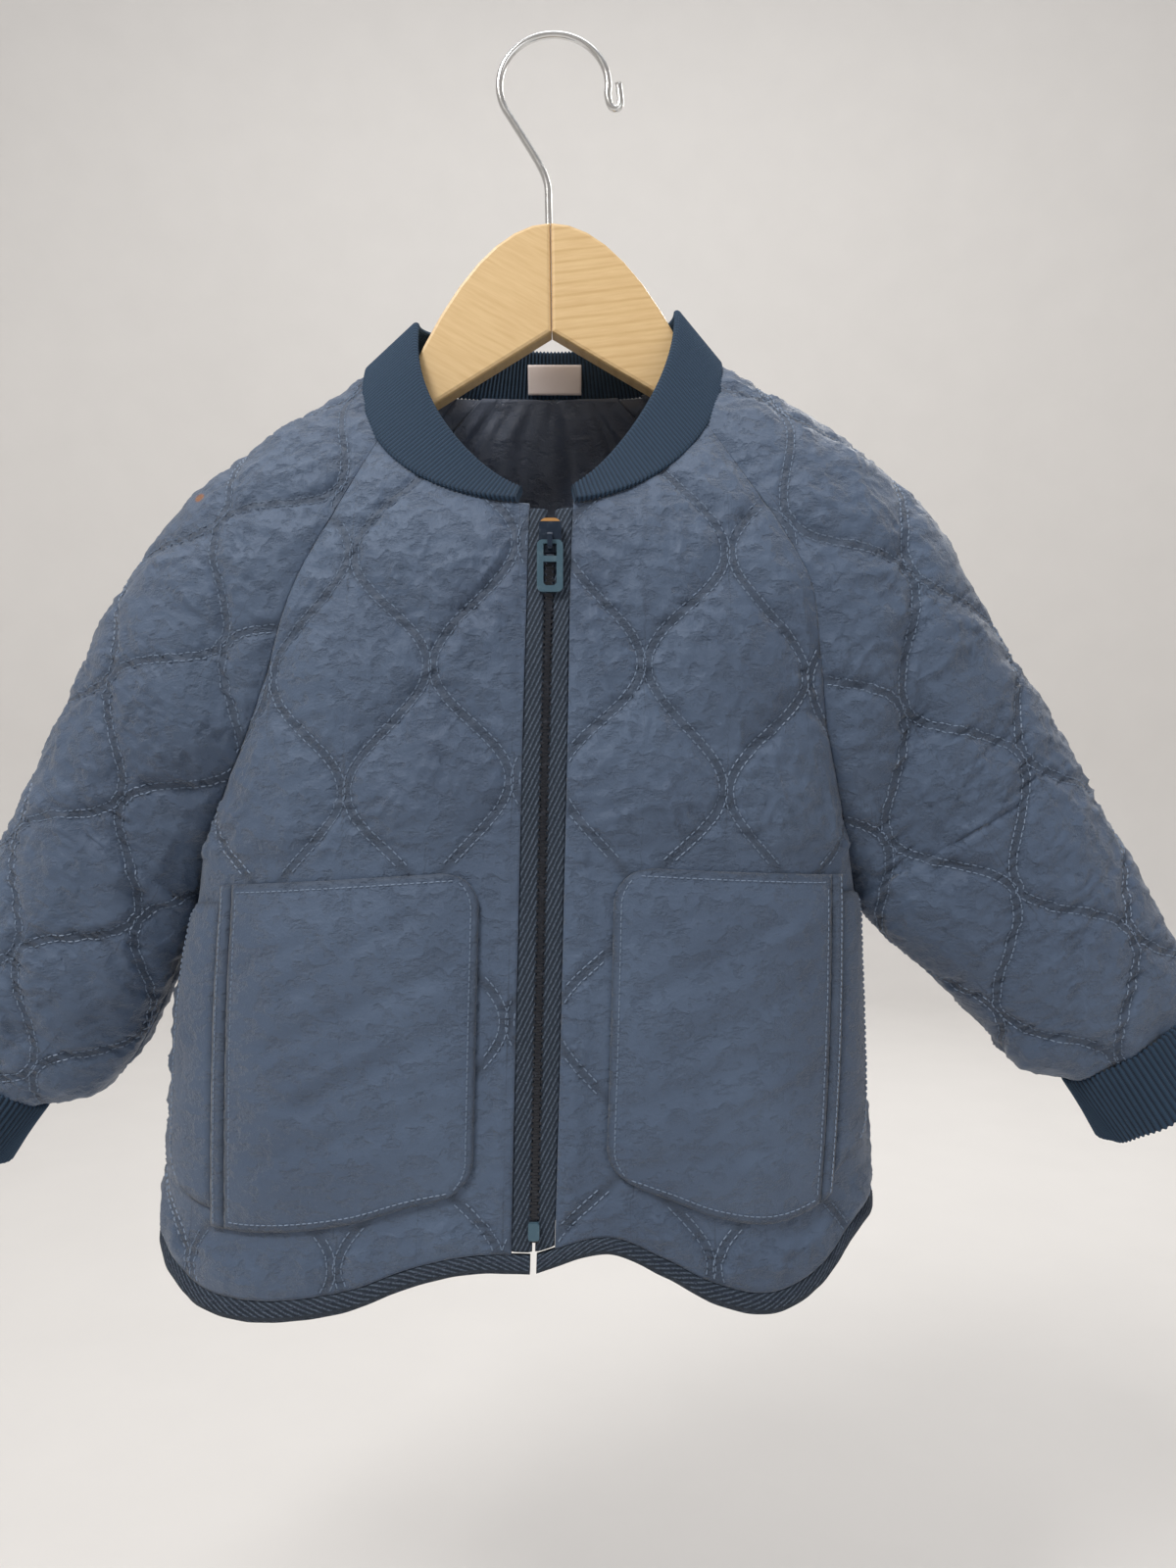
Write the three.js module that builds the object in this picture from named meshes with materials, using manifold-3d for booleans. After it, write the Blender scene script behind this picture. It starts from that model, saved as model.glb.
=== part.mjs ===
// A small child's quilted jacket, hanging on a wooden hanger.
// Millimetres, +Z up. The origin is the inside top of the hanger's hook, where the hanger is held.
// The front faces -Y. Left and right are as seen from the front.

import * as THREE from 'three';
import { mergeVertices } from 'three/addons/utils/BufferGeometryUtils.js';
import Module from 'manifold-3d';

const wasm = await Module();
wasm.setup();

// Cloth
const seamGap = 0.3;
const hemGap = 1.2;
const clothThick = 3;
const puffHeight = 3.4;
const seamFlat = 13;

// Body: the hem's level, the height at which the side seams end, and the zip
const hemZ = -536;
const hemBand = 6.8;
const zipTop = { x: 2.8, z: -222 };
const zipLean = 7.2;
const tapeWide = 8.6;
const tapeSlot = 0.4;
const underarmLevel = 0.497;
const bodyRound = 2.5;
const backTail = 22;
const frontDepth = [
  { z: -536, y: -59 },
  { z: -450, y: -62 },
  { z: -340, y: -62 },
  { z: -290, y: -60 },
  { z: -250, y: -56 },
  { z: -222, y: -50 },
];
const backDepth = [
  { level: 0, y: 47 },
  { level: 0.5, y: 50 },
  { level: 0.8, y: 52 },
  { level: 1, y: 45 },
];

// Each side of the jacket: the shoulder point at the neck, the side seam, both raglan seams from
// the underarm up, how far the hem drops along the front, and the pocket's edges from the zip
const sides = {
  left: {
    hand: -1,
    shoulder: { x: -80.5, z: -151 },
    neckRound: 2.3,
    frontSeamTurn: 29,
    backSeamTurn: -55,
    collarLean: 48,
    sideSeam: [
      { z: -538, x: -172 },
      { z: -470, x: -167 },
      { z: -427, x: -163 },
      { z: -392, x: -156 },
    ],
    frontSeam: [
      { x: -156, y: -1, z: -392 },
      { x: -149, y: -19, z: -366 },
      { x: -132, y: -35, z: -331 },
      { x: -117, y: -45, z: -297 },
      { x: -104, y: -50, z: -258 },
      { x: -86, y: -44, z: -222 },
    ],
    backSeam: [
      { x: -156, y: 1, z: -392 },
      { x: -150, y: 17, z: -370 },
      { x: -137, y: 33, z: -334 },
      { x: -121, y: 43, z: -286 },
      { x: -104, y: 48, z: -238 },
      { x: -78, y: 46, z: -190 },
    ],
    hemDrop: [
      { across: 0, drop: 0 },
      { across: 0.15, drop: 0 },
      { across: 0.3, drop: 6 },
      { across: 0.46, drop: 17 },
      { across: 0.68, drop: 24 },
      { across: 0.84, drop: 22 },
      { across: 0.94, drop: 12 },
      { across: 1, drop: 2 },
    ],
    pocket: { inner: 25, mouth: 139, outer: 169, bottom: 0.105, top: 0.525 },
  },
  right: {
    hand: 1,
    shoulder: { x: 75.5, z: -148 },
    neckRound: 2,
    frontSeamTurn: 27,
    backSeamTurn: -55,
    collarLean: 40,
    sideSeam: [
      { z: -524, x: 144 },
      { z: -480, x: 141.5 },
      { z: -430, x: 138.5 },
      { z: -389, x: 137 },
    ],
    frontSeam: [
      { x: 137, y: -1, z: -389 },
      { x: 132, y: -16, z: -368 },
      { x: 125, y: -31, z: -344 },
      { x: 117, y: -42, z: -312 },
      { x: 113.5, y: -48, z: -284 },
      { x: 109.5, y: -50, z: -256 },
      { x: 96, y: -46, z: -229 },
      { x: 82, y: -38, z: -206 },
    ],
    backSeam: [
      { x: 137, y: 1, z: -389 },
      { x: 133, y: 16, z: -369 },
      { x: 124, y: 33, z: -334 },
      { x: 113, y: 43, z: -284 },
      { x: 98, y: 48, z: -236 },
      { x: 73, y: 46, z: -187 },
    ],
    hemDrop: [
      { across: 0, drop: 0 },
      { across: 0.2, drop: -8 },
      { across: 0.36, drop: 2 },
      { across: 0.5, drop: 14 },
      { across: 0.66, drop: 20 },
      { across: 0.8, drop: 12 },
      { across: 0.92, drop: -6 },
      { across: 1, drop: -12 },
    ],
    pocket: { inner: 29, mouth: 131, outer: 157, bottom: 0.105, top: 0.53 },
  },
};

// Each sleeve, measured along its own axis from the shoulder point and across it towards the body:
// where its top fold lies, half its width, and how far it stands out in front and behind.
// Past the underarm the lower fold gives the width. The folds are the deepest creases of the cloth.
const sleeves = {
  left: {
    lean: 36,
    underarm: 238,
    end: 357,
    gridAlong: 135,
    gridAcross: 33,
    gridPeriod: 80,
    shape: [
      { along: 0, top: 0, half: 44, front: 30, back: 32 },
      { along: 49, top: -14, half: 52, front: 42, back: 40 },
      { along: 95, top: -26, half: 59, front: 48, back: 44 },
      { along: 142, top: -28, half: 56, front: 47, back: 42 },
      { along: 186, top: -21, half: 52, front: 42, back: 38 },
      { along: 238, top: -12, half: 46, front: 36, back: 33 },
      { along: 280, top: -5, half: 48, front: 32, back: 30 },
      { along: 357, top: 4, half: 40, front: 22, back: 21 },
    ],
    lowerFold: [
      { along: 238, across: 80.4 },
      { along: 264, across: 86 },
      { along: 289, across: 92 },
      { along: 314, across: 95 },
      { along: 336, across: 92 },
      { along: 357, across: 83 },
    ],
    folds: [
      { front: true, along: 134, across: 28, toAlong: 181, toAcross: 70, depth: 4.5, width: 9 },
      { front: true, along: 236, across: 30, toAlong: 262, toAcross: 46, depth: 3.6, width: 8 },
      { front: true, along: 280, across: 54, toAlong: 303, toAcross: 80, depth: 3.6, width: 8 },
      { front: true, along: 246, across: 64, toAlong: 264, toAcross: 92, depth: 3.4, width: 8 },
      { front: true, along: 330, across: 20, toAlong: 357, toAcross: 27, depth: 3, width: 7 },
      { front: true, along: 328, across: 54, toAlong: 357, toAcross: 50, depth: 3.4, width: 7 },
      { front: false, along: 120, across: 20, toAlong: 190, toAcross: 60, depth: 4, width: 10 },
      { front: false, along: 232, across: 44, toAlong: 276, toAcross: 70, depth: 3.6, width: 9 },
      { front: false, along: 326, across: 38, toAlong: 357, toAcross: 42, depth: 3.2, width: 8 },
    ],
  },
  right: {
    lean: 33,
    underarm: 235.5,
    end: 359,
    gridAlong: 173,
    gridAcross: 23,
    gridPeriod: 91,
    shape: [
      { along: 0, top: 0, half: 42, front: 30, back: 32 },
      { along: 45, top: -20, half: 50, front: 41, back: 40 },
      { along: 92, top: -36, half: 59, front: 49, back: 45 },
      { along: 118, top: -39, half: 61, front: 50, back: 45 },
      { along: 149, top: -38, half: 62, front: 48, back: 43 },
      { along: 190, top: -37, half: 62, front: 42, back: 39 },
      { along: 235.5, top: -36, half: 58, front: 35, back: 33 },
      { along: 312, top: -31, half: 46, front: 29, back: 27 },
      { along: 359, top: -27, half: 39, front: 23, back: 22 },
    ],
    lowerFold: [
      { along: 235.5, across: 80.2 },
      { along: 259, across: 76 },
      { along: 293, across: 66 },
      { along: 318, across: 61 },
      { along: 345, across: 57 },
      { along: 359, across: 50 },
    ],
    folds: [
      { front: true, along: 94, across: -22, toAlong: 181, toAcross: 24, depth: 4, width: 9 },
      { front: true, along: 181, across: 24, toAlong: 246, toAcross: 64, depth: 5.5, width: 10 },
      { front: true, along: 222, across: 32, toAlong: 262, toAcross: 56, depth: 4, width: 8 },
      { front: true, along: 176, across: -8, toAlong: 208, toAcross: -4, depth: 3, width: 8 },
      { front: true, along: 334, across: -6, toAlong: 359, toAcross: 4, depth: 3, width: 7 },
      { front: true, along: 330, across: 34, toAlong: 359, toAcross: 30, depth: 3.4, width: 7 },
      { front: false, along: 104, across: -10, toAlong: 176, toAcross: 30, depth: 4.5, width: 10 },
      { front: false, along: 226, across: 20, toAlong: 270, toAcross: 44, depth: 4, width: 9 },
      { front: false, along: 328, across: 14, toAlong: 359, toAcross: 12, depth: 3.2, width: 8 },
    ],
  },
};
const armholeLevel = 0.64;
const sleeveRound = 2.2;
const gather = { length: 22, width: 0.78, depth: 0.82 };
const cuff = { length: 32, thick: 2.6, rib: 2.1, ribHeight: 0.5, wave: 2.2, waves: 3 };

// Collar: its height at the shoulders, how far it leans inwards there and at the back, and its ribs
const neckFront = { y: -50, z: -222 };
const neckBack = { x: 1.5, y: 45, z: -149 };
const collar = { height: 29, back: 21, backLean: 14, thick: 2.6, rib: 2.1, ribHeight: 0.4 };

// Quilting: double rows of stitches that swing left and right and nearly meet half-way, and rise
// a little away from the zip
const quilt = {
  pitch: 68.5, period: 97, swing: 0.93, acrossStart: -3.75, alongStart: -287.5, lean: 0.07,
};
const puffFullWidth = 30;

// Hanger
const board = { thick: 12, crownZ: -86, crownCurve: 0.0165, crownHalf: 66, slope: 30.8, reach: 145 };
const boardEnd = 16;
const boardNotchZ = -135;
const hangerTilt = 0.6;
const wire = { diameter: 3.2, loopRadius: 23.3, loopWide: 1.06, loopX: 2.2, stemTop: -66 };

// Zip's hard pieces
const slider = { wide: 9, tall: 14, thick: 3.4, z: -237.5 };
const bridge = { wide: 2, hole: 3, bar: 1.5, tall: 3.4 };
const pull = { wide: 10.5, long: 21, thick: 1.6, rail: 2.6, slot: 4.9, bar: 1.6, cross: 2.4 };
const zipBox = { wide: 4.5, tall: 7, thick: 2.6, z: -517.5 };
const label = { wide: 26, tall: 13, thick: 0.8 };

const degrees = Math.PI / 180;
const mix = (a, b, t) => a + (b - a) * t;
const clamp = (t, low = 0, high = 1) => Math.min(high, Math.max(low, t));
const ease = t => clamp(t) ** 2 * (3 - 2 * clamp(t));
const point = (x, y, z) => new THREE.Vector3(x, y, z);

// Sine or cosine drawn out towards a rounded box, as the exponent rises above 2
const squared = (value, exponent) => Math.sign(value) * Math.abs(value) ** (2 / exponent);

// One column of a table, read on a smooth curve through its rows
function read(rows, along, column, at) {
  const last = rows.length - 1;
  if (at <= rows[0][along]) return rows[0][column];
  if (at >= rows[last][along]) return rows[last][column];
  let i = 0;
  while (at > rows[i + 1][along]) i += 1;
  const slope = k => {
    const before = rows[Math.max(k - 1, 0)];
    const after = rows[Math.min(k + 1, last)];
    return (after[column] - before[column]) / (after[along] - before[along]);
  };
  const width = rows[i + 1][along] - rows[i][along];
  const t = (at - rows[i][along]) / width;
  return rows[i][column] * (1 + 2 * t) * (1 - t) ** 2
    + rows[i + 1][column] * t * t * (3 - 2 * t)
    + slope(i) * width * t * (1 - t) ** 2
    - slope(i + 1) * width * t * t * (1 - t);
}

// A smooth curve through points, by the fraction of its length
function through(points) {
  let run = 0;
  const rows = points.map((p, i) => {
    if (i > 0) run += p.distanceTo(points[i - 1]);
    return { run, x: p.x, y: p.y, z: p.z };
  });
  return t => point(...['x', 'y', 'z'].map(axis => read(rows, 'run', axis, t * run)));
}

// The neck seam: turn is 0 at the shoulder, 90 degrees at the zip and -90 at the middle of the back
function neckPoint(side, turn) {
  const { shoulder, neckRound } = side;
  if (turn > 0) {
    const out = squared(Math.cos(turn), neckRound);
    const down = squared(Math.sin(turn), neckRound);
    const y = neckFront.y * Math.sin(turn) ** 0.8;
    return point(mix(zipTop.x, shoulder.x, out), y, mix(shoulder.z, neckFront.z, down));
  }
  const out = Math.cos(turn);
  const round = Math.sin(-turn);
  const y = neckBack.y * round ** 0.9;
  return point(mix(neckBack.x, shoulder.x, out), y, mix(shoulder.z, neckBack.z, round));
}

// The zip's middle line and the side edge of a body panel, by level: 0 at the hem, 1 at the neck
function zipPoint(level) {
  const z = mix(hemZ, zipTop.z, level);
  return point(zipTop.x - zipLean * (1 - level), read(frontDepth, 'z', 'y', z), z);
}

function panelEdge(side, seamRows, seamTurn) {
  const top = neckPoint(side, seamTurn * degrees);
  const seam = through([...seamRows.map(row => point(row.x, row.y, row.z)), top]);
  const hem = side.sideSeam[0].z;
  const underarm = side.sideSeam[side.sideSeam.length - 1].z;
  return level => {
    if (level > underarmLevel) return seam((level - underarmLevel) / (1 - underarmLevel));
    const z = mix(hem, underarm, level / underarmLevel);
    return point(read(side.sideSeam, 'z', 'x', z), 0, z);
  };
}

// How far a row of the body turns from the middle to its side edge
const aboveArm = level => clamp((level - underarmLevel) / (1 - underarmLevel));
const bodyTurn = level => mix(90, 60, aboveArm(level) ** 0.8) * degrees;
const hemShare = level => (1 - clamp(level / 0.5)) ** 1.5;

// A row of the body from its middle point to its side edge, as a quarter of a rounded box
function bodyRow(middle, edge, turn, t) {
  const out = squared(Math.sin(turn * t), bodyRound) / squared(Math.sin(turn), bodyRound);
  const endDepth = squared(Math.cos(turn), bodyRound);
  const depth = (squared(Math.cos(turn * t), bodyRound) - endDepth) / (1 - endDepth);
  const p = middle.clone().lerp(edge, out).setY(mix(edge.y, middle.y, depth));
  return { out, p };
}

// The front of one side, from the zip's middle to the side edge
function frontSurface(side) {
  const edge = panelEdge(side, side.frontSeam, side.frontSeamTurn);
  const raw = (level, t) => {
    const { out, p } = bodyRow(zipPoint(level), edge(level), bodyTurn(level), t);
    const sideDrop = side.hemDrop[side.hemDrop.length - 1].drop;
    const drop = read(side.hemDrop, 'across', 'drop', out) - sideDrop * out;
    p.z -= drop * hemShare(level);
    return p;
  };
  const neck = t => neckPoint(side, mix(90, side.frontSeamTurn, t) * degrees);
  const at = (level, t) => {
    const p = raw(level, t);
    const share = clamp((level - 0.8) / 0.2) ** 2;
    return share > 0 ? p.addScaledVector(neck(t).sub(raw(1, t)), share) : p;
  };
  return { at, facing: side.hand, cloth: bodyCloth };
}

// The back, from the left side edge to the right one
function backSurface() {
  const edges = [panelEdge(sides.left, sides.left.backSeam, sides.left.backSeamTurn),
    panelEdge(sides.right, sides.right.backSeam, sides.right.backSeamTurn)];
  const middle = level => {
    const left = edges[0](level);
    const right = edges[1](level);
    const z = mix((left.z + right.z) / 2, neckBack.z, aboveArm(level) ** 2);
    return point((left.x + right.x) / 2, read(backDepth, 'level', 'y', level), z);
  };
  const raw = (level, t) => {
    const across = 2 * t - 1;
    const edge = edges[across < 0 ? 0 : 1](level);
    const { out, p } = bodyRow(middle(level), edge, bodyTurn(level), Math.abs(across));
    p.z -= backTail * (1 - out ** 3) * hemShare(level);
    return p;
  };
  const neck = t => {
    const side = t < 0.5 ? sides.left : sides.right;
    return neckPoint(side, mix(-90, side.backSeamTurn, Math.abs(2 * t - 1)) * degrees);
  };
  const at = (level, t) => {
    const p = raw(level, t);
    const share = clamp((level - 0.8) / 0.2) ** 2;
    return share > 0 ? p.addScaledVector(neck(t).sub(raw(1, t)), share) : p;
  };
  return { at, facing: -1, cloth: backCloth };
}

// How far the cloth sinks at a place on a sleeve: each fold is a trough along a straight line
function foldDepth(folds, front, along, across) {
  let depth = 0;
  for (const fold of folds.filter(f => f.front === front)) {
    const spanAlong = fold.toAlong - fold.along;
    const spanAcross = fold.toAcross - fold.across;
    const passed = (along - fold.along) * spanAlong + (across - fold.across) * spanAcross;
    const part = clamp(passed / (spanAlong ** 2 + spanAcross ** 2));
    const awayAlong = along - fold.along - spanAlong * part;
    const awayAcross = across - fold.across - spanAcross * part;
    depth += fold.depth * Math.exp(-(awayAlong ** 2 + awayAcross ** 2) / fold.width ** 2);
  }
  return depth;
}

// A sleeve, wrapped from the back seam over the shoulder to the front seam; below the armhole
// its edges meet in the underarm seam
function sleeveSurface(side, sleeve) {
  const lean = sleeve.lean * degrees;
  const axis = point(side.hand * Math.sin(lean), 0, -Math.cos(lean));
  const inwards = point(-side.hand * Math.cos(lean), 0, -Math.sin(lean));
  const origin = point(side.shoulder.x, 0, side.shoulder.z);
  const seams = [panelEdge(side, side.backSeam, side.backSeamTurn),
    panelEdge(side, side.frontSeam, side.frontSeamTurn)];
  const raw = (level, t) => {
    const front = t > 0.5;
    const way = Math.abs(2 * t - 1);
    const closed = level >= armholeLevel;
    const topAlong = closed
      ? mix(sleeve.underarm, sleeve.end, (level - armholeLevel) / (1 - armholeLevel))
      : mix(0, sleeve.underarm, level / armholeLevel);
    const column = name => read(sleeve.shape, 'along', name, topAlong);
    const shrink = ease((topAlong - sleeve.end + gather.length) / gather.length);
    let top = column('top');
    let half = column('half');
    let depth = column(front ? 'front' : 'back') * mix(1, gather.depth, shrink);
    let endAlong = topAlong;
    let endAcross;
    let endY = front ? -seamGap / 2 : seamGap / 2;
    if (closed) {
      endAcross = read(sleeve.lowerFold, 'along', 'across', topAlong);
      half = (endAcross - top) / 2;
      const middle = top + half;
      half *= mix(1, gather.width, shrink);
      top = middle - half;
      endAcross = middle + half;
    } else {
      const seam = seams[front ? 1 : 0](mix(1, underarmLevel, level / armholeLevel)).sub(origin);
      endAlong = seam.dot(axis);
      endAcross = seam.dot(inwards);
      endY = seam.y;
      const full = (read(sleeve.lowerFold, 'along', 'across', 0) - top) / 2;
      half = mix(half, full, ease((level / armholeLevel - 0.75) / 0.25));
    }
    const reach = clamp(1 - (endAcross - top) / half, -1, 1);
    const turn = Math.acos(Math.sign(reach) * Math.abs(reach) ** (sleeveRound / 2));
    const endReach = 1 - squared(Math.cos(turn), sleeveRound);
    const part = (1 - squared(Math.cos(turn * way), sleeveRound)) / endReach;
    const hand = front ? -1 : 1;
    const miss = endY - hand * depth * squared(Math.sin(turn), sleeveRound);
    const y = hand * depth * squared(Math.sin(turn * way), sleeveRound) + miss * way * way;
    const along = mix(topAlong, endAlong, part);
    const across = top + (endAcross - top) * part;
    const sunk = foldDepth(sleeve.folds, front, along, across) / depth * (1 - way ** 6);
    return origin.clone()
      .addScaledVector(axis, along)
      .addScaledVector(inwards, across)
      .setY(y * (1 - sunk));
  };
  const neck = t => {
    const turn = (t > 0.5 ? side.frontSeamTurn : side.backSeamTurn) * Math.abs(2 * t - 1);
    return neckPoint(side, turn * degrees);
  };
  const at = (level, t) => {
    const p = raw(level, t);
    const share = (1 - clamp(level / 0.15)) ** 2;
    return share > 0 ? p.addScaledVector(neck(t).sub(raw(0, t)), share) : p;
  };
  const cloth = samples => {
    const run = [0];
    const flat = samples.map(p => ({
      along: p.clone().sub(origin).dot(axis),
      across: p.clone().sub(origin).dot(inwards),
      y: p.y,
    }));
    for (let i = 1; i < flat.length; i += 1) {
      run.push(run[i - 1] + Math.hypot(flat[i].across - flat[i - 1].across, flat[i].y - flat[i - 1].y));
    }
    const middle = flat.findIndex((f, i) => i > flat.length / 2 && f.across > sleeve.gridAcross);
    const zero = run[middle < 0 ? flat.length - 1 : middle];
    return flat.map((f, i) => ({
      across: run[i] - zero,
      along: (f.along - sleeve.gridAlong) * quilt.period / sleeve.gridPeriod + quilt.period / 2,
    }));
  };
  return { at, facing: side.hand, cloth, axis, inwards, origin };
}

// Flat cloth coordinates along a row of the body: across from the zip, and up along the grain
function bodyCloth(samples) {
  let run = 0;
  const hand = Math.sign(samples[samples.length - 1].x - samples[0].x);
  return samples.map((p, i) => {
    if (i > 0) run += Math.hypot(p.x - samples[i - 1].x, p.y - samples[i - 1].y);
    return { across: hand * run - quilt.acrossStart, along: p.z + quilt.lean * run - quilt.alongStart };
  });
}

function backCloth(samples) {
  const half = Math.floor(samples.length / 2);
  const row = bodyCloth(samples);
  return row.map(r => ({ across: row[half].across - r.across, along: r.along }));
}

// The stitched line with number k, and the place of a point between two such lines
function stitchLine(k, along) {
  const hand = k % 2 === 0 ? 1 : -1;
  const swing = hand * quilt.swing * (quilt.pitch / 4) * Math.cos(2 * Math.PI * along / quilt.period);
  return (k + 0.5) * quilt.pitch / 2 + swing;
}

function quiltPlace({ across, along }) {
  let k = Math.floor(across / (quilt.pitch / 2)) - 2;
  while (stitchLine(k + 1, along) <= across) k += 1;
  const left = stitchLine(k, along);
  const width = stitchLine(k + 1, along) - left;
  return { key: k + (across - left) / width, width };
}

function puff(place, height) {
  const part = place.key - Math.floor(place.key);
  return height * Math.min(1, place.width / puffFullWidth) ** 0.8 * Math.sin(Math.PI * part) ** 0.6;
}

// A row of a surface, sampled finely enough to find any place on it again
const rowSamples = 160;

function sampleRow(surface, level, from, to) {
  const ts = Array.from({ length: rowSamples + 1 }, (_, i) => mix(from, to, i / rowSamples));
  const points = ts.map(t => surface.at(level, t));
  const run = [0];
  for (let i = 1; i < points.length; i += 1) run.push(run[i - 1] + points[i].distanceTo(points[i - 1]));
  return { ts, points, run };
}

function lookUp(keys, values, key) {
  if (key <= keys[0]) return values[0];
  let i = 1;
  while (i < keys.length - 1 && keys[i] < key) i += 1;
  return mix(values[i - 1], values[i], clamp((key - keys[i - 1]) / (keys[i] - keys[i - 1] || 1)));
}

function evenPlaces(surface, level, from, to, count) {
  const { ts, run } = sampleRow(surface, level, from, to);
  const total = run[run.length - 1];
  return Array.from({ length: count + 1 }, (_, i) => lookUp(run, ts, total * i / count));
}

// The parameter at a distance in millimetres from the row's start
function placeAt(surface, level, distance) {
  const { ts, run } = sampleRow(surface, level, 0, 1);
  return lookUp(run, ts, distance);
}

function normalAt(surface, level, t) {
  const d = 0.003;
  const [t0, t1] = [Math.max(t - d, 0), Math.min(t + d, 1)];
  const [l0, l1] = [Math.max(level - d, 0), Math.min(level + d, 1)];
  const across = surface.at(level, t1).sub(surface.at(level, t0));
  const up = surface.at(l1, t).sub(surface.at(l0, t));
  return across.cross(up).normalize().multiplyScalar(surface.facing);
}

const raised = (surface, level, t, height) =>
  surface.at(level, t).addScaledVector(normalAt(surface, level, t), height);

// Triangles between two chains of vertices whose keys rise
function lace(triangles, lower, upper, flip = false) {
  let i = 0;
  let j = 0;
  const add = (a, b, c) => triangles.push(flip ? [a, c, b] : [a, b, c]);
  while (i < lower.length - 1 || j < upper.length - 1) {
    const stepLower = i < lower.length - 1 ? lower[i].key + lower[i + 1].key : Infinity;
    const stepUpper = j < upper.length - 1 ? upper[j].key + upper[j + 1].key : Infinity;
    if (stepLower <= stepUpper) {
      add(lower[i].id, lower[i + 1].id, upper[j].id);
      i += 1;
    } else {
      add(lower[i].id, upper[j + 1].id, upper[j].id);
      j += 1;
    }
  }
}

// The four edges of a patch as one loop: bottom, right, top, left
function edgeLoop(rows) {
  const last = rows.length - 1;
  const fraction = (row, i) => (row[i].place - row[0].place) / (row[row.length - 1].place - row[0].place);
  const loop = rows[0].map((v, i) => ({ id: v.id, key: fraction(rows[0], i) }));
  for (let r = 1; r <= last; r += 1) {
    loop.push({ id: rows[r][rows[r].length - 1].id, key: 1 + rows[r].share });
  }
  for (let i = rows[last].length - 2; i >= 0; i -= 1) {
    loop.push({ id: rows[last][i].id, key: 3 - fraction(rows[last], i) });
  }
  for (let r = last - 1; r >= 0; r -= 1) loop.push({ id: rows[r][0].id, key: 4 - rows[r].share });
  return loop;
}

// A sheet with thickness: a fine outer face, a plain inner face and a rim all round.
// levels are the rows of the outer face, innerLevels those of the inner one; edges gives the
// first and last place of a row, and columns its places on the outer face with their keys.
function sheet({ surface, levels, innerLevels, edges, columns, innerColumns, outer, inner }) {
  const vertices = [];
  const triangles = [];
  const face = (list, places, height) => {
    const first = list[0];
    const last = list[list.length - 1];
    return list.map(level => {
      const row = places(level).map(({ t, key }) => {
        vertices.push(raised(surface, level, t, height(level, t)));
        return { id: vertices.length - 1, key, place: t };
      });
      row.share = (level - first) / (last - first);
      return row;
    });
  };
  const plainColumns = level => {
    const [from, to] = edges(level);
    return evenPlaces(surface, level, from, to, innerColumns).map((t, i) => ({ t, key: i }));
  };
  const outerRows = face(levels, columns, outer);
  const innerRows = face(innerLevels, plainColumns, inner);
  for (let r = 1; r < outerRows.length; r += 1) lace(triangles, outerRows[r - 1], outerRows[r]);
  for (let r = 1; r < innerRows.length; r += 1) lace(triangles, innerRows[r - 1], innerRows[r], true);
  lace(triangles, edgeLoop(innerRows), edgeLoop(outerRows));
  return solid(vertices, triangles);
}

// A closed mesh from vertices and triangles, its faces turned outwards
function solid(vertices, triangles) {
  let volume = 0;
  for (const [a, b, c] of triangles) {
    volume += vertices[a].dot(vertices[b].clone().cross(vertices[c]));
  }
  const index = triangles.flatMap(([a, b, c]) => (volume > 0 ? [a, b, c] : [a, c, b]));
  const places = new THREE.Float32BufferAttribute(vertices.flatMap(v => v.toArray()), 3);
  const geometry = new THREE.BufferGeometry();
  geometry.setAttribute('position', places);
  geometry.setIndex(index);
  return mergeVertices(geometry, 1e-4);
}

const evenLevels = (from, to, count) =>
  Array.from({ length: count + 1 }, (_, i) => mix(from, to, i / count));

// Quilted panel: columns on and between the stitched lines, flat along its seams and under a pocket
function quiltedPanel({ surface, from, to, rows, edges, innerColumns, flatAt = () => 1 }) {
  const perLine = 4;
  const levels = evenLevels(from, to, rows);
  const rowAt = level => {
    const [first, last] = edges(level);
    const row = sampleRow(surface, level, first, last);
    const places = surface.cloth(row.points).map(quiltPlace);
    const rising = places[places.length - 1].key > places[0].key ? 1 : -1;
    return { ...row, places, keys: places.map(place => rising * place.key) };
  };
  const cache = new Map(levels.map(level => [level, rowAt(level)]));
  const columns = level => {
    const { ts, keys } = cache.get(level);
    const low = keys[0];
    const high = keys[keys.length - 1];
    const found = [{ t: ts[0], key: low }];
    for (let step = Math.ceil(low * perLine + 0.4); step < high * perLine - 0.4; step += 1) {
      found.push({ t: lookUp(keys, ts, step / perLine), key: step / perLine });
    }
    found.push({ t: ts[ts.length - 1], key: high });
    return found;
  };
  const outer = (level, t) => {
    const { ts, run, places } = cache.get(level);
    const distance = lookUp(ts, run, t);
    const width = lookUp(ts, places.map(p => p.width), t);
    const key = lookUp(ts, places.map(p => p.key), t);
    const toSide = Math.min(distance, run[run.length - 1] - distance);
    const toEnd = Math.min(level - from, to - level) * surface.tall;
    const flat = ease(Math.min(toSide, toEnd) / seamFlat + 0.1) ** 0.6 * flatAt(level, t);
    return puff({ key, width }, puffHeight * flat);
  };
  return sheet({
    surface, levels, edges, columns, innerColumns, outer,
    innerLevels: levels.filter((_, i) => i % 2 === 0),
    inner: () => -clothThick,
  });
}

// Plain sheet with even columns
function plainSheet({
  surface, from, to, rows, columns, edges, outer, inner, innerRows = rows, innerColumns = columns,
}) {
  return sheet({
    surface, edges, innerColumns, outer, inner,
    levels: evenLevels(from, to, rows),
    innerLevels: evenLevels(from, to, innerRows),
    columns: level => {
      const [first, last] = edges(level);
      return evenPlaces(surface, level, first, last, columns)
        .map((t, i) => ({ t, key: i / columns * innerColumns }));
    },
  });
}

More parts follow.
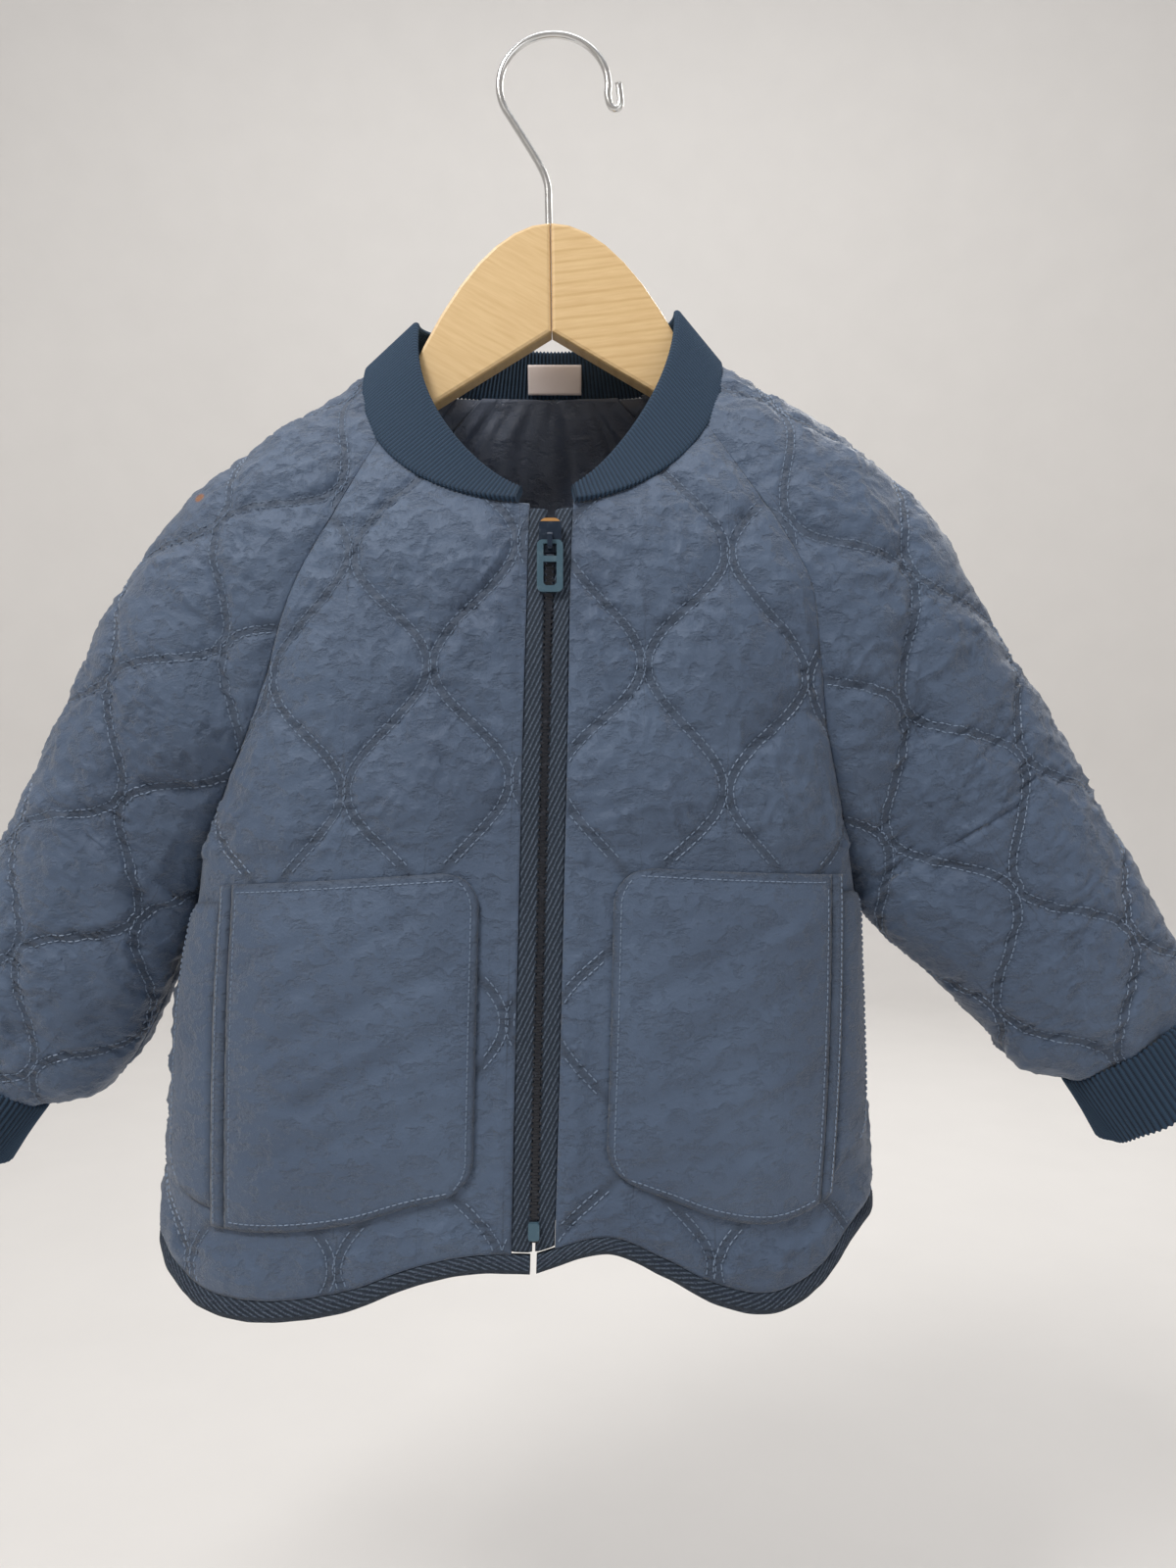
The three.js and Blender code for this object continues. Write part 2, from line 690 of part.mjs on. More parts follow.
// Materials
const finish = (color, roughness, metalness = 0) =>
  new THREE.MeshStandardMaterial({ color, roughness, metalness });
const shellCloth = finish(0x55698a, 0.75);
const ribKnit = finish(0x1c3450, 0.9);
const twill = finish(0x233350, 0.85);
const liningCloth = finish(0x2f3a50, 0.6);
const labelCloth = finish(0xe3dad9, 0.8);
const beech = finish(0xdcb983, 0.5);
const chrome = finish(0xc9c9c6, 0.25, 1);
const sliderPaint = finish(0x28364c, 0.5, 0.3);
const pullPaint = finish(0x56707f, 0.45, 0.3);

const mesh = (name, geometry, material) => {
  const made = new THREE.Mesh(geometry, material);
  made.name = name;
  return made;
};

const bodyTall = zipTop.z - hemZ;
const bandLevel = hemBand / bodyTall;
const gapLevel = hemGap / bodyTall;
const fronts = { left: frontSurface(sides.left), right: frontSurface(sides.right) };
const backPanel = backSurface();
fronts.left.tall = bodyTall;
fronts.right.tall = bodyTall;
backPanel.tall = bodyTall;

const trimmed = (surface, level, first, last) => {
  const { run } = sampleRow(surface, level, 0, 1);
  const total = run[run.length - 1];
  return [placeAt(surface, level, first), placeAt(surface, level, last < 0 ? total + last : last)];
};

// Room at the armhole seam, widest where all four pieces meet under the arm
const armRoom = (level, underarm) => mix(0.45, 1.4, ease(1 - Math.abs(level - underarm) / 0.12));

// Front panels run from the tape's edge to the side edge, flat under the pocket
function frontPanel(name) {
  const surface = fronts[name];
  const { pocket } = sides[name];
  const flatAt = (level, t) => {
    const { ts, run } = sampleRow(surface, level, 0, 1);
    const distance = lookUp(ts, run, t);
    const past = Math.min(distance - pocket.inner, pocket.outer - distance,
      (level - pocket.bottom) * bodyTall, (pocket.top - level) * bodyTall);
    return 1 - ease((past + 12) / 6);
  };
  return mesh(`front_${name}`, quiltedPanel({
    surface,
    from: bandLevel + gapLevel, to: 1 - gapLevel,
    rows: 26,
    edges: level => trimmed(surface, level, tapeWide + tapeSlot + seamGap, -armRoom(level, underarmLevel)),
    innerColumns: 8,
    flatAt,
  }), shellCloth);
}

function backBody() {
  return mesh('back', quiltedPanel({
    surface: backPanel,
    from: bandLevel + gapLevel, to: 1 - gapLevel,
    rows: 30,
    edges: level => {
      const room = armRoom(level, underarmLevel);
      return trimmed(backPanel, level, room, -room);
    },
    innerColumns: 16,
  }), shellCloth);
}

const sleeveSurfaces = {
  left: sleeveSurface(sides.left, sleeves.left),
  right: sleeveSurface(sides.right, sleeves.right),
};

function sleevePanel(name) {
  const surface = sleeveSurfaces[name];
  surface.tall = sleeves[name].end;
  return mesh(`sleeve_${name}`, quiltedPanel({
    surface,
    from: 0.001, to: 1,
    rows: 30,
    edges: level => {
      const room = armRoom(level, armholeLevel);
      return trimmed(surface, level, room, -room);
    },
    innerColumns: 14,
  }), shellCloth);
}

// Cuffs carry on from the sleeve's gathered end and wave a little at their mouth
function cuffTube(name) {
  const sleeve = sleeveSurfaces[name];
  const { axis, inwards, origin } = sleeve;
  const start = sleeves[name].end + seamGap;
  const end = sleeves[name].shape[sleeves[name].shape.length - 1];
  const fold = sleeves[name].lowerFold[sleeves[name].lowerFold.length - 1].across;
  const middle = (end.top + fold) / 2;
  const half = (fold - end.top) / 2 * gather.width;
  const depth = (end.front + end.back) / 2 * gather.depth;
  const surface = {
    facing: -sides[name].hand,
    at: (level, t) => {
      const turn = (2 * t - 1) * (Math.PI - 0.004);
      const wave = cuff.wave * level * Math.cos(cuff.waves * turn + 1);
      const across = middle - Math.cos(turn) * (half + wave);
      const y = -Math.sin(turn) * (depth + wave);
      return origin.clone()
        .addScaledVector(axis, start + level * cuff.length)
        .addScaledVector(inwards, across)
        .setY(y);
    },
  };
  const ribs = Math.round(Math.PI * (half + depth) / cuff.rib);
  return mesh(`cuff_${name}`, ribbedSheet(surface, () => [0.001, 0.999], ribs, cuff), ribKnit);
}

// Rib knit: every other column stands out
function ribbedSheet(surface, edges, ribs, { thick, ribHeight }) {
  const count = ribs * 2;
  const levels = [0, 1];
  const columns = level => {
    const [first, last] = edges(level);
    return evenPlaces(surface, level, first, last, count)
      .map((t, i) => ({ t, key: i / count * 24, rib: i % 2 }));
  };
  const ribOf = new Map(levels.map(level => [level, columns(level)]));
  return sheet({
    surface, levels, edges,
    innerLevels: levels,
    innerColumns: 24,
    columns: level => ribOf.get(level),
    outer: (level, t) => thick + ribHeight * ribOf.get(level).find(c => c.t === t).rib,
    inner: () => 0,
  });
}

// The collar stands on the neck seam, from the zip round the back and to the zip again
function collarBand() {
  const surface = {
    facing: -1,
    at: (level, t) => {
      const side = t < 0.5 ? sides.left : sides.right;
      const turn = mix(-90, 90, Math.abs(2 * t - 1)) * degrees;
      const foot = neckPoint(side, turn);
      const out = point(foot.x - neckBack.x, foot.y + 5, 0).normalize();
      const toBack = ease(-turn / (90 * degrees));
      const lean = mix(side.collarLean, collar.backLean, toBack) * degrees;
      const tall = turn > 0
        ? collar.height * (1 - (turn / (90 * degrees)) ** 3)
        : mix(collar.height, collar.back, toBack);
      const rise = 4 * seamGap + level * tall;
      return foot.addScaledVector(out, -Math.sin(lean) * rise).setZ(foot.z + Math.cos(lean) * rise);
    },
  };
  const { run } = sampleRow(surface, 0, 0.02, 0.98);
  const ribs = Math.round(run[run.length - 1] / collar.rib);
  return mesh('collar', ribbedSheet(surface, () => [0.02, 0.98], ribs, collar), ribKnit);
}

// Binding folded round the hem
function hemBinding(name, surface, edges, columns) {
  return mesh(name, plainSheet({
    surface, edges, columns,
    from: 0.0005, to: bandLevel - gapLevel / 2,
    rows: 2,
    outer: level => 0.7 + 0.5 * Math.sin(Math.PI * level / bandLevel),
    inner: () => -clothThick - 0.5,
    innerRows: 1,
  }), twill);
}

function zipTape(name) {
  const surface = fronts[name];
  return mesh(`zip_tape_${name}`, plainSheet({
    surface,
    from: 0.03, to: 0.997,
    rows: 22, columns: 1,
    edges: level => trimmed(surface, level, tapeSlot / 2, tapeSlot / 2 + tapeWide),
    outer: () => -0.6,
    inner: () => -2,
  }), twill);
}

// Patch pocket: main patch, folded strip along its side opening, and the plain strip behind
function pocketPieces(name) {
  const surface = fronts[name];
  const { pocket } = sides[name];
  const welt = 6.6;
  const corner = 15;
  const round = (level, from, to) => {
    const past = Math.min(level - from, to - level) * bodyTall;
    const near = clamp((corner - past) / corner);
    return corner * (1 - Math.sqrt(1 - near * near));
  };
  const tall = pocket.top - pocket.bottom;
  const puffed = (level, lift) =>
    lift * Math.sin(Math.PI * clamp((level - pocket.bottom) / tall)) ** 0.5;
  const patch = plainSheet({
    surface,
    from: pocket.bottom, to: pocket.top,
    rows: 12, columns: 11,
    edges: level => trimmed(surface, level, pocket.inner + round(level, pocket.bottom, pocket.top),
      pocket.mouth - welt - seamGap),
    outer: level => 2.6 + puffed(level, 2.4),
    inner: () => 1.3,
  });
  const strip = plainSheet({
    surface,
    from: pocket.bottom, to: pocket.top,
    rows: 12, columns: 2, innerColumns: 1,
    edges: level => trimmed(surface, level, pocket.mouth - welt, pocket.mouth),
    outer: level => 3.4 + puffed(level, 1.6),
    inner: () => 1,
  });
  const bottom = pocket.bottom + 0.02;
  const top = pocket.top - 0.02;
  const behind = plainSheet({
    surface,
    from: bottom, to: top,
    rows: 12, columns: 3,
    edges: level => trimmed(surface, level, pocket.mouth + seamGap,
      pocket.outer - round(level, bottom, top)),
    outer: () => 2.9,
    inner: () => 1.5,
  });
  return [
    mesh(`pocket_${name}`, patch, shellCloth),
    mesh(`pocket_${name}_welt`, strip, shellCloth),
    mesh(`pocket_${name}_side`, behind, shellCloth),
  ];
}

// Lining, where it shows through the neck
function backLining() {
  return mesh('lining_back', plainSheet({
    surface: backPanel,
    from: 0.62, to: 0.985,
    rows: 8, columns: 12,
    edges: level => trimmed(backPanel, level, 12, -12),
    outer: () => -clothThick - 1.4,
    inner: () => -clothThick - 2.4,
  }), liningCloth);
}

// Hanger: two boards glued at the middle, and a wire hook
function hangerBoard(name, hand) {
  const slope = Math.tan(board.slope * degrees);
  const crownEdge = board.crownZ - board.crownCurve * board.crownHalf ** 2;
  const outline = new THREE.Shape();
  const inner = hand * seamGap / 2;
  outline.moveTo(inner, boardNotchZ);
  outline.lineTo(inner, board.crownZ);
  for (let i = 1; i <= 8; i += 1) {
    const x = board.crownHalf * i / 8;
    outline.lineTo(hand * x, board.crownZ - board.crownCurve * x * x);
  }
  const tipZ = crownEdge - (board.reach - board.crownHalf) * slope;
  const radius = boardEnd / 2;
  const centre = { x: board.reach - radius * Math.sin(board.slope * degrees), z: tipZ - radius };
  for (let i = 0; i <= 6; i += 1) {
    const turn = (90 - board.slope * 0.4 - 160 * i / 6) * degrees;
    outline.lineTo(hand * (centre.x + radius * Math.cos(turn)), centre.z + radius * Math.sin(turn));
  }
  outline.closePath();
  const soft = 1.6;
  const geometry = new THREE.ExtrudeGeometry(outline, {
    depth: board.thick - 2 * soft, bevelEnabled: true, bevelSize: soft, bevelThickness: soft,
    bevelOffset: -soft, bevelSegments: 2, steps: 1,
  });
  geometry.translate(0, 0, soft - board.thick / 2);
  geometry.rotateX(Math.PI / 2);
  return mesh(name, geometry, beech);
}

function hangerHook() {
  const bottom = board.crownZ + seamGap + 0.1;
  const loopZ = wire.diameter / 2 - wire.loopRadius;
  const stem = [[0, bottom], [-0.2, -76], [-0.8, wire.stemTop], [-4.5, -57]];
  const points = stem.map(([x, z]) => point(x, 0, z));
  for (let turn = 215; turn >= -22; turn -= 14) {
    const x = wire.loopX + wire.loopWide * wire.loopRadius * Math.cos(turn * degrees);
    points.push(point(x, 0, loopZ + wire.loopRadius * Math.sin(turn * degrees)));
  }
  const curve = new THREE.CatmullRomCurve3(points, false, 'centripetal');
  const section = new THREE.Shape();
  section.absarc(0, 0, wire.diameter / 2, 0, 2 * Math.PI);
  const geometry = new THREE.ExtrudeGeometry(section, { steps: 40, curveSegments: 5, extrudePath: curve });
  return mesh('hanger_hook', geometry, chrome);
}

// Boolean joins
function toManifold(geometry) {
  const plain = geometry.clone();
  plain.deleteAttribute('normal');
  plain.deleteAttribute('uv');
  const merged = mergeVertices(plain, 1e-4);
  return new wasm.Manifold(new wasm.Mesh({
    numProp: 3,
    vertProperties: new Float32Array(merged.attributes.position.array),
    triVerts: new Uint32Array(merged.index.array),
  }));
}

function fromManifold(joined) {
  const made = joined.getMesh();
  const geometry = new THREE.BufferGeometry();
  geometry.setAttribute('position', new THREE.BufferAttribute(made.vertProperties, 3));
  geometry.setIndex(new THREE.BufferAttribute(made.triVerts, 1));
  return geometry;
}

function roundedPlate(wide, tall, radius) {
  const shape = new THREE.Shape();
  shape.absarc(wide / 2 - radius, tall / 2 - radius, radius, 0, Math.PI / 2);
  shape.absarc(radius - wide / 2, tall / 2 - radius, radius, Math.PI / 2, Math.PI);
  shape.absarc(radius - wide / 2, radius - tall / 2, radius, Math.PI, 1.5 * Math.PI);
  shape.absarc(wide / 2 - radius, radius - tall / 2, radius, 1.5 * Math.PI, 2 * Math.PI);
  shape.closePath();
  return shape;
}

// A flat shape in X and Z, extruded towards the back from its front at Y = 0
function upright(shape, thick, curveSegments = 4) {
  const geometry = new THREE.ExtrudeGeometry(shape, { depth: thick, bevelEnabled: false, curveSegments });
  geometry.rotateX(Math.PI / 2);
  return geometry;
}

const zipAt = z => {
  const level = (z - hemZ) / bodyTall;
  return raised(fronts.right, level, placeAt(fronts.right, level, 1), 0.1);
};
const sliderSeat = zipAt(slider.z);
const sliderX = zipPoint((slider.z - hemZ) / bodyTall).x;
const sliderFront = sliderSeat.y - 4.4;
const pivot = point(sliderX, sliderFront - bridge.hole / 2, slider.z - 3);

function zipSlider() {
  const body = upright(roundedPlate(slider.wide, slider.tall, 3), slider.thick);
  body.translate(sliderX, sliderFront + slider.thick, slider.z);
  const deep = bridge.hole + bridge.bar;
  const tall = bridge.tall + 2 * bridge.bar;
  const arch = new THREE.Shape();
  arch.moveTo(-1, -bridge.bar - bridge.hole / 2);
  arch.lineTo(deep - 0.8, -bridge.bar - bridge.hole / 2);
  arch.lineTo(deep, -bridge.hole / 2 - bridge.bar + 0.8);
  arch.lineTo(deep, tall - bridge.hole / 2 - bridge.bar - 0.8);
  arch.lineTo(deep - 0.8, tall - bridge.hole / 2 - bridge.bar);
  arch.lineTo(-1, tall - bridge.hole / 2 - bridge.bar);
  arch.closePath();
  const hole = new THREE.Path();
  hole.moveTo(0, -bridge.hole / 2);
  hole.lineTo(0, bridge.tall - bridge.hole / 2);
  hole.lineTo(bridge.hole, bridge.tall - bridge.hole / 2);
  hole.lineTo(bridge.hole, -bridge.hole / 2);
  hole.closePath();
  arch.holes.push(hole);
  const loop = new THREE.ExtrudeGeometry(arch, { depth: bridge.wide, bevelEnabled: false });
  loop.applyMatrix4(new THREE.Matrix4().makeBasis(point(0, -1, 0), point(0, 0, 1), point(-1, 0, 0)));
  loop.translate(pivot.x + bridge.wide / 2, sliderFront, pivot.z);
  return mesh('zip_slider', fromManifold(toManifold(body).add(toManifold(loop))), sliderPaint);
}

// The pull tab: its top bar lies inside the slider's bridge, and the rest hangs in front
function zipPull() {
  const outline = roundedPlate(pull.wide, pull.long, 2.2);
  const middle = pull.bar / 2 - pull.long / 2;
  const slot = new THREE.Path();
  const half = pull.wide / 2 - pull.rail;
  const slotTop = -pull.bar / 2 - middle;
  const slotBottom = slotTop - pull.slot;
  slot.moveTo(-half, slotTop);
  slot.lineTo(-half, slotBottom);
  slot.lineTo(half, slotBottom);
  slot.lineTo(half, slotTop);
  slot.closePath();
  const opening = new THREE.Path();
  const openTop = slotBottom - pull.cross;
  const openBottom = -pull.long / 2 + 2.6;
  opening.moveTo(-half, openTop);
  opening.lineTo(-half, openBottom + 1);
  opening.lineTo(-half + 1, openBottom);
  opening.lineTo(half - 1, openBottom);
  opening.lineTo(half, openBottom + 1);
  opening.lineTo(half, openTop);
  opening.closePath();
  outline.holes.push(slot, opening);
  const tab = upright(outline, pull.thick);
  tab.translate(pivot.x, pivot.y + pull.thick / 2, pivot.z + middle);
  return mesh('zip_pull', tab, pullPaint);
}

function zipFootBox() {
  const seat = zipAt(zipBox.z);
  const middle = zipPoint((zipBox.z - hemZ) / bodyTall).x;
  const box = upright(roundedPlate(zipBox.wide, zipBox.tall, 1), zipBox.thick);
  box.translate(middle, seat.y, zipBox.z);
  return mesh('zip_box', box, pullPaint);
}

function careLabel() {
  const flat = new THREE.BoxGeometry(label.wide, label.thick, label.tall);
  flat.translate(neckBack.x, 0, 0);
  flat.rotateX(collar.backLean * degrees);
  flat.translate(0, neckBack.y - 4.2, neckBack.z + 8);
  return mesh('care_label', flat, labelCloth);
}

const jacket = new THREE.Group();
for (const name of ['left', 'right']) {
  const surface = fronts[name];
  jacket.add(frontPanel(name), sleevePanel(name), cuffTube(name), zipTape(name), ...pocketPieces(name));
  jacket.add(hemBinding(`hem_front_${name}`, surface,
    level => trimmed(surface, level, tapeWide + tapeSlot + seamGap, -seamGap / 2), 24));
}
jacket.add(backBody(), hemBinding('hem_back', backPanel,
  level => trimmed(backPanel, level, seamGap / 2, -seamGap / 2), 34));
jacket.add(collarBand(), backLining(), careLabel(), zipSlider(), zipPull(), zipFootBox());

const boards = new THREE.Group();
boards.add(hangerBoard('hanger_left', -1), hangerBoard('hanger_right', 1));
boards.rotation.y = -hangerTilt * degrees;

const model = new THREE.Group();
model.add(jacket, boards, hangerHook());

export default model;
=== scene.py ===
import bpy
import numpy as np
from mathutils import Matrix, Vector


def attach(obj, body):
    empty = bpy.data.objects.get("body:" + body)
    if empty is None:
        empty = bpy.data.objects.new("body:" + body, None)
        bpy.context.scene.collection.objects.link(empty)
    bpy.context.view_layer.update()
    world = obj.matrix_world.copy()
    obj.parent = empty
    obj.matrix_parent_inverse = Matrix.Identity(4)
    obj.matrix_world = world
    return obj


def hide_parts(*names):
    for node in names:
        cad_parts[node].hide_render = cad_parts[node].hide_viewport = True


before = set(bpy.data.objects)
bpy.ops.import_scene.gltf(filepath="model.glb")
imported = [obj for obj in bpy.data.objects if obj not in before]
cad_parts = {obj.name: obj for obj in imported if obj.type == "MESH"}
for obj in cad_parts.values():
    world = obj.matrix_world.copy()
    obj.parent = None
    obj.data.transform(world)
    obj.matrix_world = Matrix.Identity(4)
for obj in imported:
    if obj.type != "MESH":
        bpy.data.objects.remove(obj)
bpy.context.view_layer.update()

# The camera stands level in front of the chest, as in the photograph.
camera_data = bpy.data.cameras.new("camera")
camera_data.lens = 27.0
camera_data.sensor_width = 36.0
camera = bpy.data.objects.new("camera", camera_data)
camera.location = (0.01775, -0.533, -0.338)
camera.rotation_euler = (np.pi / 2, 0, 0)
bpy.context.collection.objects.link(camera)
bpy.context.scene.camera = camera


# The studio: a pale floor that bends up into a wall all round, and soft light from the upper
# left. Nothing stands close to the jacket, so it can be looked at from every side.
def plain_material(name, colour, roughness):
    """A material of one base colour with a faint mottle from noise on object coordinates."""
    material = bpy.data.materials.new(name)
    material.use_nodes = True
    nodes, links = material.node_tree.nodes, material.node_tree.links
    shader = nodes["Principled BSDF"]
    shader.inputs["Roughness"].default_value = roughness
    place = nodes.new("ShaderNodeTexCoord")
    noise = nodes.new("ShaderNodeTexNoise")
    noise.inputs["Scale"].default_value = 9
    noise.inputs["Detail"].default_value = 6
    ramp = nodes.new("ShaderNodeValToRGB")
    ramp.color_ramp.elements[0].color = (*(np.array(colour) * 0.94), 1)
    ramp.color_ramp.elements[1].color = (*colour, 1)
    links.new(place.outputs["Object"], noise.inputs["Vector"])
    links.new(noise.outputs["Fac"], ramp.inputs["Fac"])
    links.new(ramp.outputs["Color"], shader.inputs["Base Color"])
    return material


def bowl_points(radius, floor, bend, top, sides=96, count=16):
    """A round floor that bends up into a wall: rings about the Z axis, in metres."""
    turn = np.linspace(0, np.pi / 2, count)
    reach = np.r_[0.02, radius - bend + bend * np.sin(turn), radius]
    height = np.r_[floor, floor + bend - bend * np.cos(turn), top]
    angle = np.linspace(0, 2 * np.pi, sides, endpoint=False)
    return np.stack([np.outer(reach, np.cos(angle)), np.outer(reach, np.sin(angle)),
                     np.outer(height, np.ones(sides))], axis=-1)


bowl = bowl_points(radius=3.0, floor=-0.86, bend=0.6, top=3.4)
rings, sides = bowl.shape[:2]
ring = np.arange(rings - 1)[:, None] * sides
here = np.arange(sides)[None, :]
ahead = (here + 1) % sides
sweep_quads = np.stack([ring + here, ring + ahead, ring + sides + ahead, ring + sides + here],
                       axis=-1).reshape(-1, 4)
sweep_faces = sweep_quads.tolist() + [list(range(sides))[::-1]]
sweep_mesh = bpy.data.meshes.new("sweep")
sweep_mesh.from_pydata(bowl.reshape(-1, 3), [], sweep_faces)
sweep_mesh.polygons.foreach_set("use_smooth", np.ones(len(sweep_faces), dtype=bool))
sweep_mesh.materials.append(plain_material("painted_wall", (0.72, 0.70, 0.68), 0.8))
sweep = bpy.data.objects.new("sweep", sweep_mesh)
bpy.context.collection.objects.link(sweep)


def soft_light(name, place, target, size, power, colour):
    """A square area light at a place, turned towards its target."""
    data = bpy.data.lights.new(name, "AREA")
    data.size = size
    data.energy = power
    data.color = colour
    lamp = bpy.data.objects.new(name, data)
    lamp.location = place
    lamp.rotation_euler = (Vector(target) - Vector(place)).to_track_quat("-Z", "Y").to_euler()
    bpy.context.collection.objects.link(lamp)


chest = (0, 0, -0.33)
soft_light("key", (-0.7, -0.95, 0.95), chest, 0.5, 21, (1.0, 0.98, 0.95))
soft_light("fill", (1.1, -1.4, -0.1), chest, 1.2, 4, (0.95, 0.97, 1.0))
soft_light("wall", (0, 1.1, 1.7), (0, 3.0, 0.1), 1.6, 26, (1.0, 0.99, 0.97))
soft_light("back_key", (0.9, 1.5, 0.9), chest, 0.7, 13, (1.0, 0.99, 0.97))
soft_light("top", (0.1, 0.05, 1.3), chest, 0.9, 6, (1.0, 1.0, 1.0))
world = bpy.data.worlds.new("room")
world.use_nodes = True
world.node_tree.nodes["Background"].inputs["Color"].default_value = (0.93, 0.95, 1.0, 1)
world.node_tree.nodes["Background"].inputs["Strength"].default_value = 0.44
bpy.context.scene.world = world
bpy.context.scene.view_settings.view_transform = "Standard"


# The jacket's cut. Two front panels meet at the zip, one back panel, and raglan sleeves that run
# up to the neck; each is a surface of (level, place), the same one that the solids were made from.
HEM_Z = -536
ZIP_TOP = (2.8, -222)
ZIP_LEAN = 7.2
BODY_TALL = ZIP_TOP[1] - HEM_Z
UNDERARM = 0.497
ARMHOLE = 0.64
FRONT_DEPTH = np.array([(-536, -59), (-450, -62), (-340, -62), (-290, -60), (-250, -56), (-222, -50)])
BACK_DEPTH = np.array([(0, 47), (0.5, 50), (0.8, 52), (1, 45)])
NECK_FRONT = (-50, -222)
NECK_BACK = (1.5, 45, -149)

SIDES = {
    "left": {
        "hand": -1, "shoulder": (-80.5, -151), "neck_round": 2.3,
        "front_turn": 29, "back_turn": -55, "collar_lean": 48,
        "side_seam": [(-538, -172), (-470, -167), (-427, -163), (-392, -156)],
        "front_seam": [(-156, -1, -392), (-149, -19, -366), (-132, -35, -331),
                       (-117, -45, -297), (-104, -50, -258), (-86, -44, -222)],
        "back_seam": [(-156, 1, -392), (-150, 17, -370), (-137, 33, -334),
                      (-121, 43, -286), (-104, 48, -238), (-78, 46, -190)],
        "hem_drop": [(0, 0), (0.15, 0), (0.3, 6), (0.46, 17), (0.68, 24), (0.84, 22),
                     (0.94, 12), (1, 2)],
        "pocket": {"inner": 25, "mouth": 139, "outer": 169, "bottom": 0.105, "top": 0.525},
    },
    "right": {
        "hand": 1, "shoulder": (75.5, -148), "neck_round": 2,
        "front_turn": 27, "back_turn": -55, "collar_lean": 40,
        "side_seam": [(-524, 144), (-480, 141.5), (-430, 138.5), (-389, 137)],
        "front_seam": [(137, -1, -389), (132, -16, -368), (125, -31, -344), (117, -42, -312),
                       (113.5, -48, -284), (109.5, -50, -256), (96, -46, -229), (82, -38, -206)],
        "back_seam": [(137, 1, -389), (133, 16, -369), (124, 33, -334),
                      (113, 43, -284), (98, 48, -236), (73, 46, -187)],
        "hem_drop": [(0, 0), (0.2, -8), (0.36, 2), (0.5, 14), (0.66, 20), (0.8, 12),
                     (0.92, -6), (1, -12)],
        "pocket": {"inner": 29, "mouth": 131, "outer": 157, "bottom": 0.105, "top": 0.53},
    },
}


def mix(a, b, t):
    """From a to b as t goes from 0 to 1."""
    return a + (b - a) * t


def ease(t):
    """Smooth step from 0 to 1."""
    t = np.clip(t, 0, 1)
    return t * t * (3 - 2 * t)


def squared(value, exponent):
    """Sine or cosine drawn out towards a rounded box, as the exponent rises above 2."""
    return np.sign(value) * np.abs(value) ** (2 / exponent)


def read(rows, at, column=1):
    """One column of a table on a smooth Hermite curve through its rows, flat past both ends."""
    rows = np.asarray(rows, float)
    x, y = rows[:, 0], rows[:, column]
    before, after = np.r_[0, 0:len(x) - 1], np.r_[1:len(x), len(x) - 1]
    slope = (y[after] - y[before]) / (x[after] - x[before])
    at = np.clip(at, x[0], x[-1])
    i = np.clip(np.searchsorted(x, at, side="right") - 1, 0, len(x) - 2)
    wide = x[i + 1] - x[i]
    t = (at - x[i]) / wide
    return (y[i] * (1 + 2 * t) * (1 - t) ** 2 + y[i + 1] * t * t * (3 - 2 * t)
            + slope[i] * wide * t * (1 - t) ** 2 - slope[i + 1] * wide * t * t * (1 - t))


def neck_point(side, turn):
    """Neck seam by turn in radians: 0 at the shoulder, pi/2 at the zip, -pi/2 at the back."""
    sx, sz = side["shoulder"]
    ahead, round_back = np.sin(np.clip(turn, 0, None)), np.sin(np.clip(-turn, 0, None))
    out = np.cos(turn)
    front = np.stack([mix(ZIP_TOP[0], sx, squared(out, side["neck_round"])),
                      NECK_FRONT[0] * ahead ** 0.8,
                      mix(sz, NECK_FRONT[1], squared(ahead, side["neck_round"]))], axis=-1)
    back = np.stack([mix(NECK_BACK[0], sx, out), NECK_BACK[1] * round_back ** 0.9,
                     mix(sz, NECK_BACK[2], round_back)], axis=-1)
    return np.where((turn > 0)[..., None], front, back)


def zip_line(level):
    """The zip's middle line, by level from the hem to the neck."""
    z = mix(HEM_Z, ZIP_TOP[1], level)
    return np.stack([ZIP_TOP[0] - ZIP_LEAN * (1 - level), read(FRONT_DEPTH, z), z], axis=-1)


def panel_edge(side, which, level):
    """Side seam up to the underarm, then the raglan seam by the fraction of its length."""
    top = neck_point(side, np.radians(np.array([side[which + "_turn"]], float)))
    points = np.concatenate([np.array(side[which + "_seam"], float), top])
    run = np.r_[0, np.cumsum(np.linalg.norm(np.diff(points, axis=0), axis=1))]
    rows = np.column_stack([run, points])
    share = np.clip((level - UNDERARM) / (1 - UNDERARM), 0, 1) * run[-1]
    seam = np.stack([read(rows, share, c) for c in (1, 2, 3)], axis=-1)
    seam_rows = side["side_seam"]
    z = mix(seam_rows[0][0], seam_rows[-1][0], np.clip(level / UNDERARM, 0, 1))
    below = np.stack([read(seam_rows, z), 0 * z, z], axis=-1)
    return np.where((level > UNDERARM)[..., None], seam, below)


def body_row(middle, edge, level, t):
    """A row from its middle point to its side edge, as a quarter of a rounded box."""
    above = np.clip((level - UNDERARM) / (1 - UNDERARM), 0, 1)
    turn = np.radians(mix(90, 60, above ** 0.8))
    out = squared(np.sin(turn * t), 2.5) / squared(np.sin(turn), 2.5)
    end = squared(np.cos(turn), 2.5)
    depth = (squared(np.cos(turn * t), 2.5) - end) / (1 - end)
    return out, np.stack([mix(middle[..., 0], edge[..., 0], out),
                          mix(edge[..., 1], middle[..., 1], depth),
                          mix(middle[..., 2], edge[..., 2], out)], axis=-1)


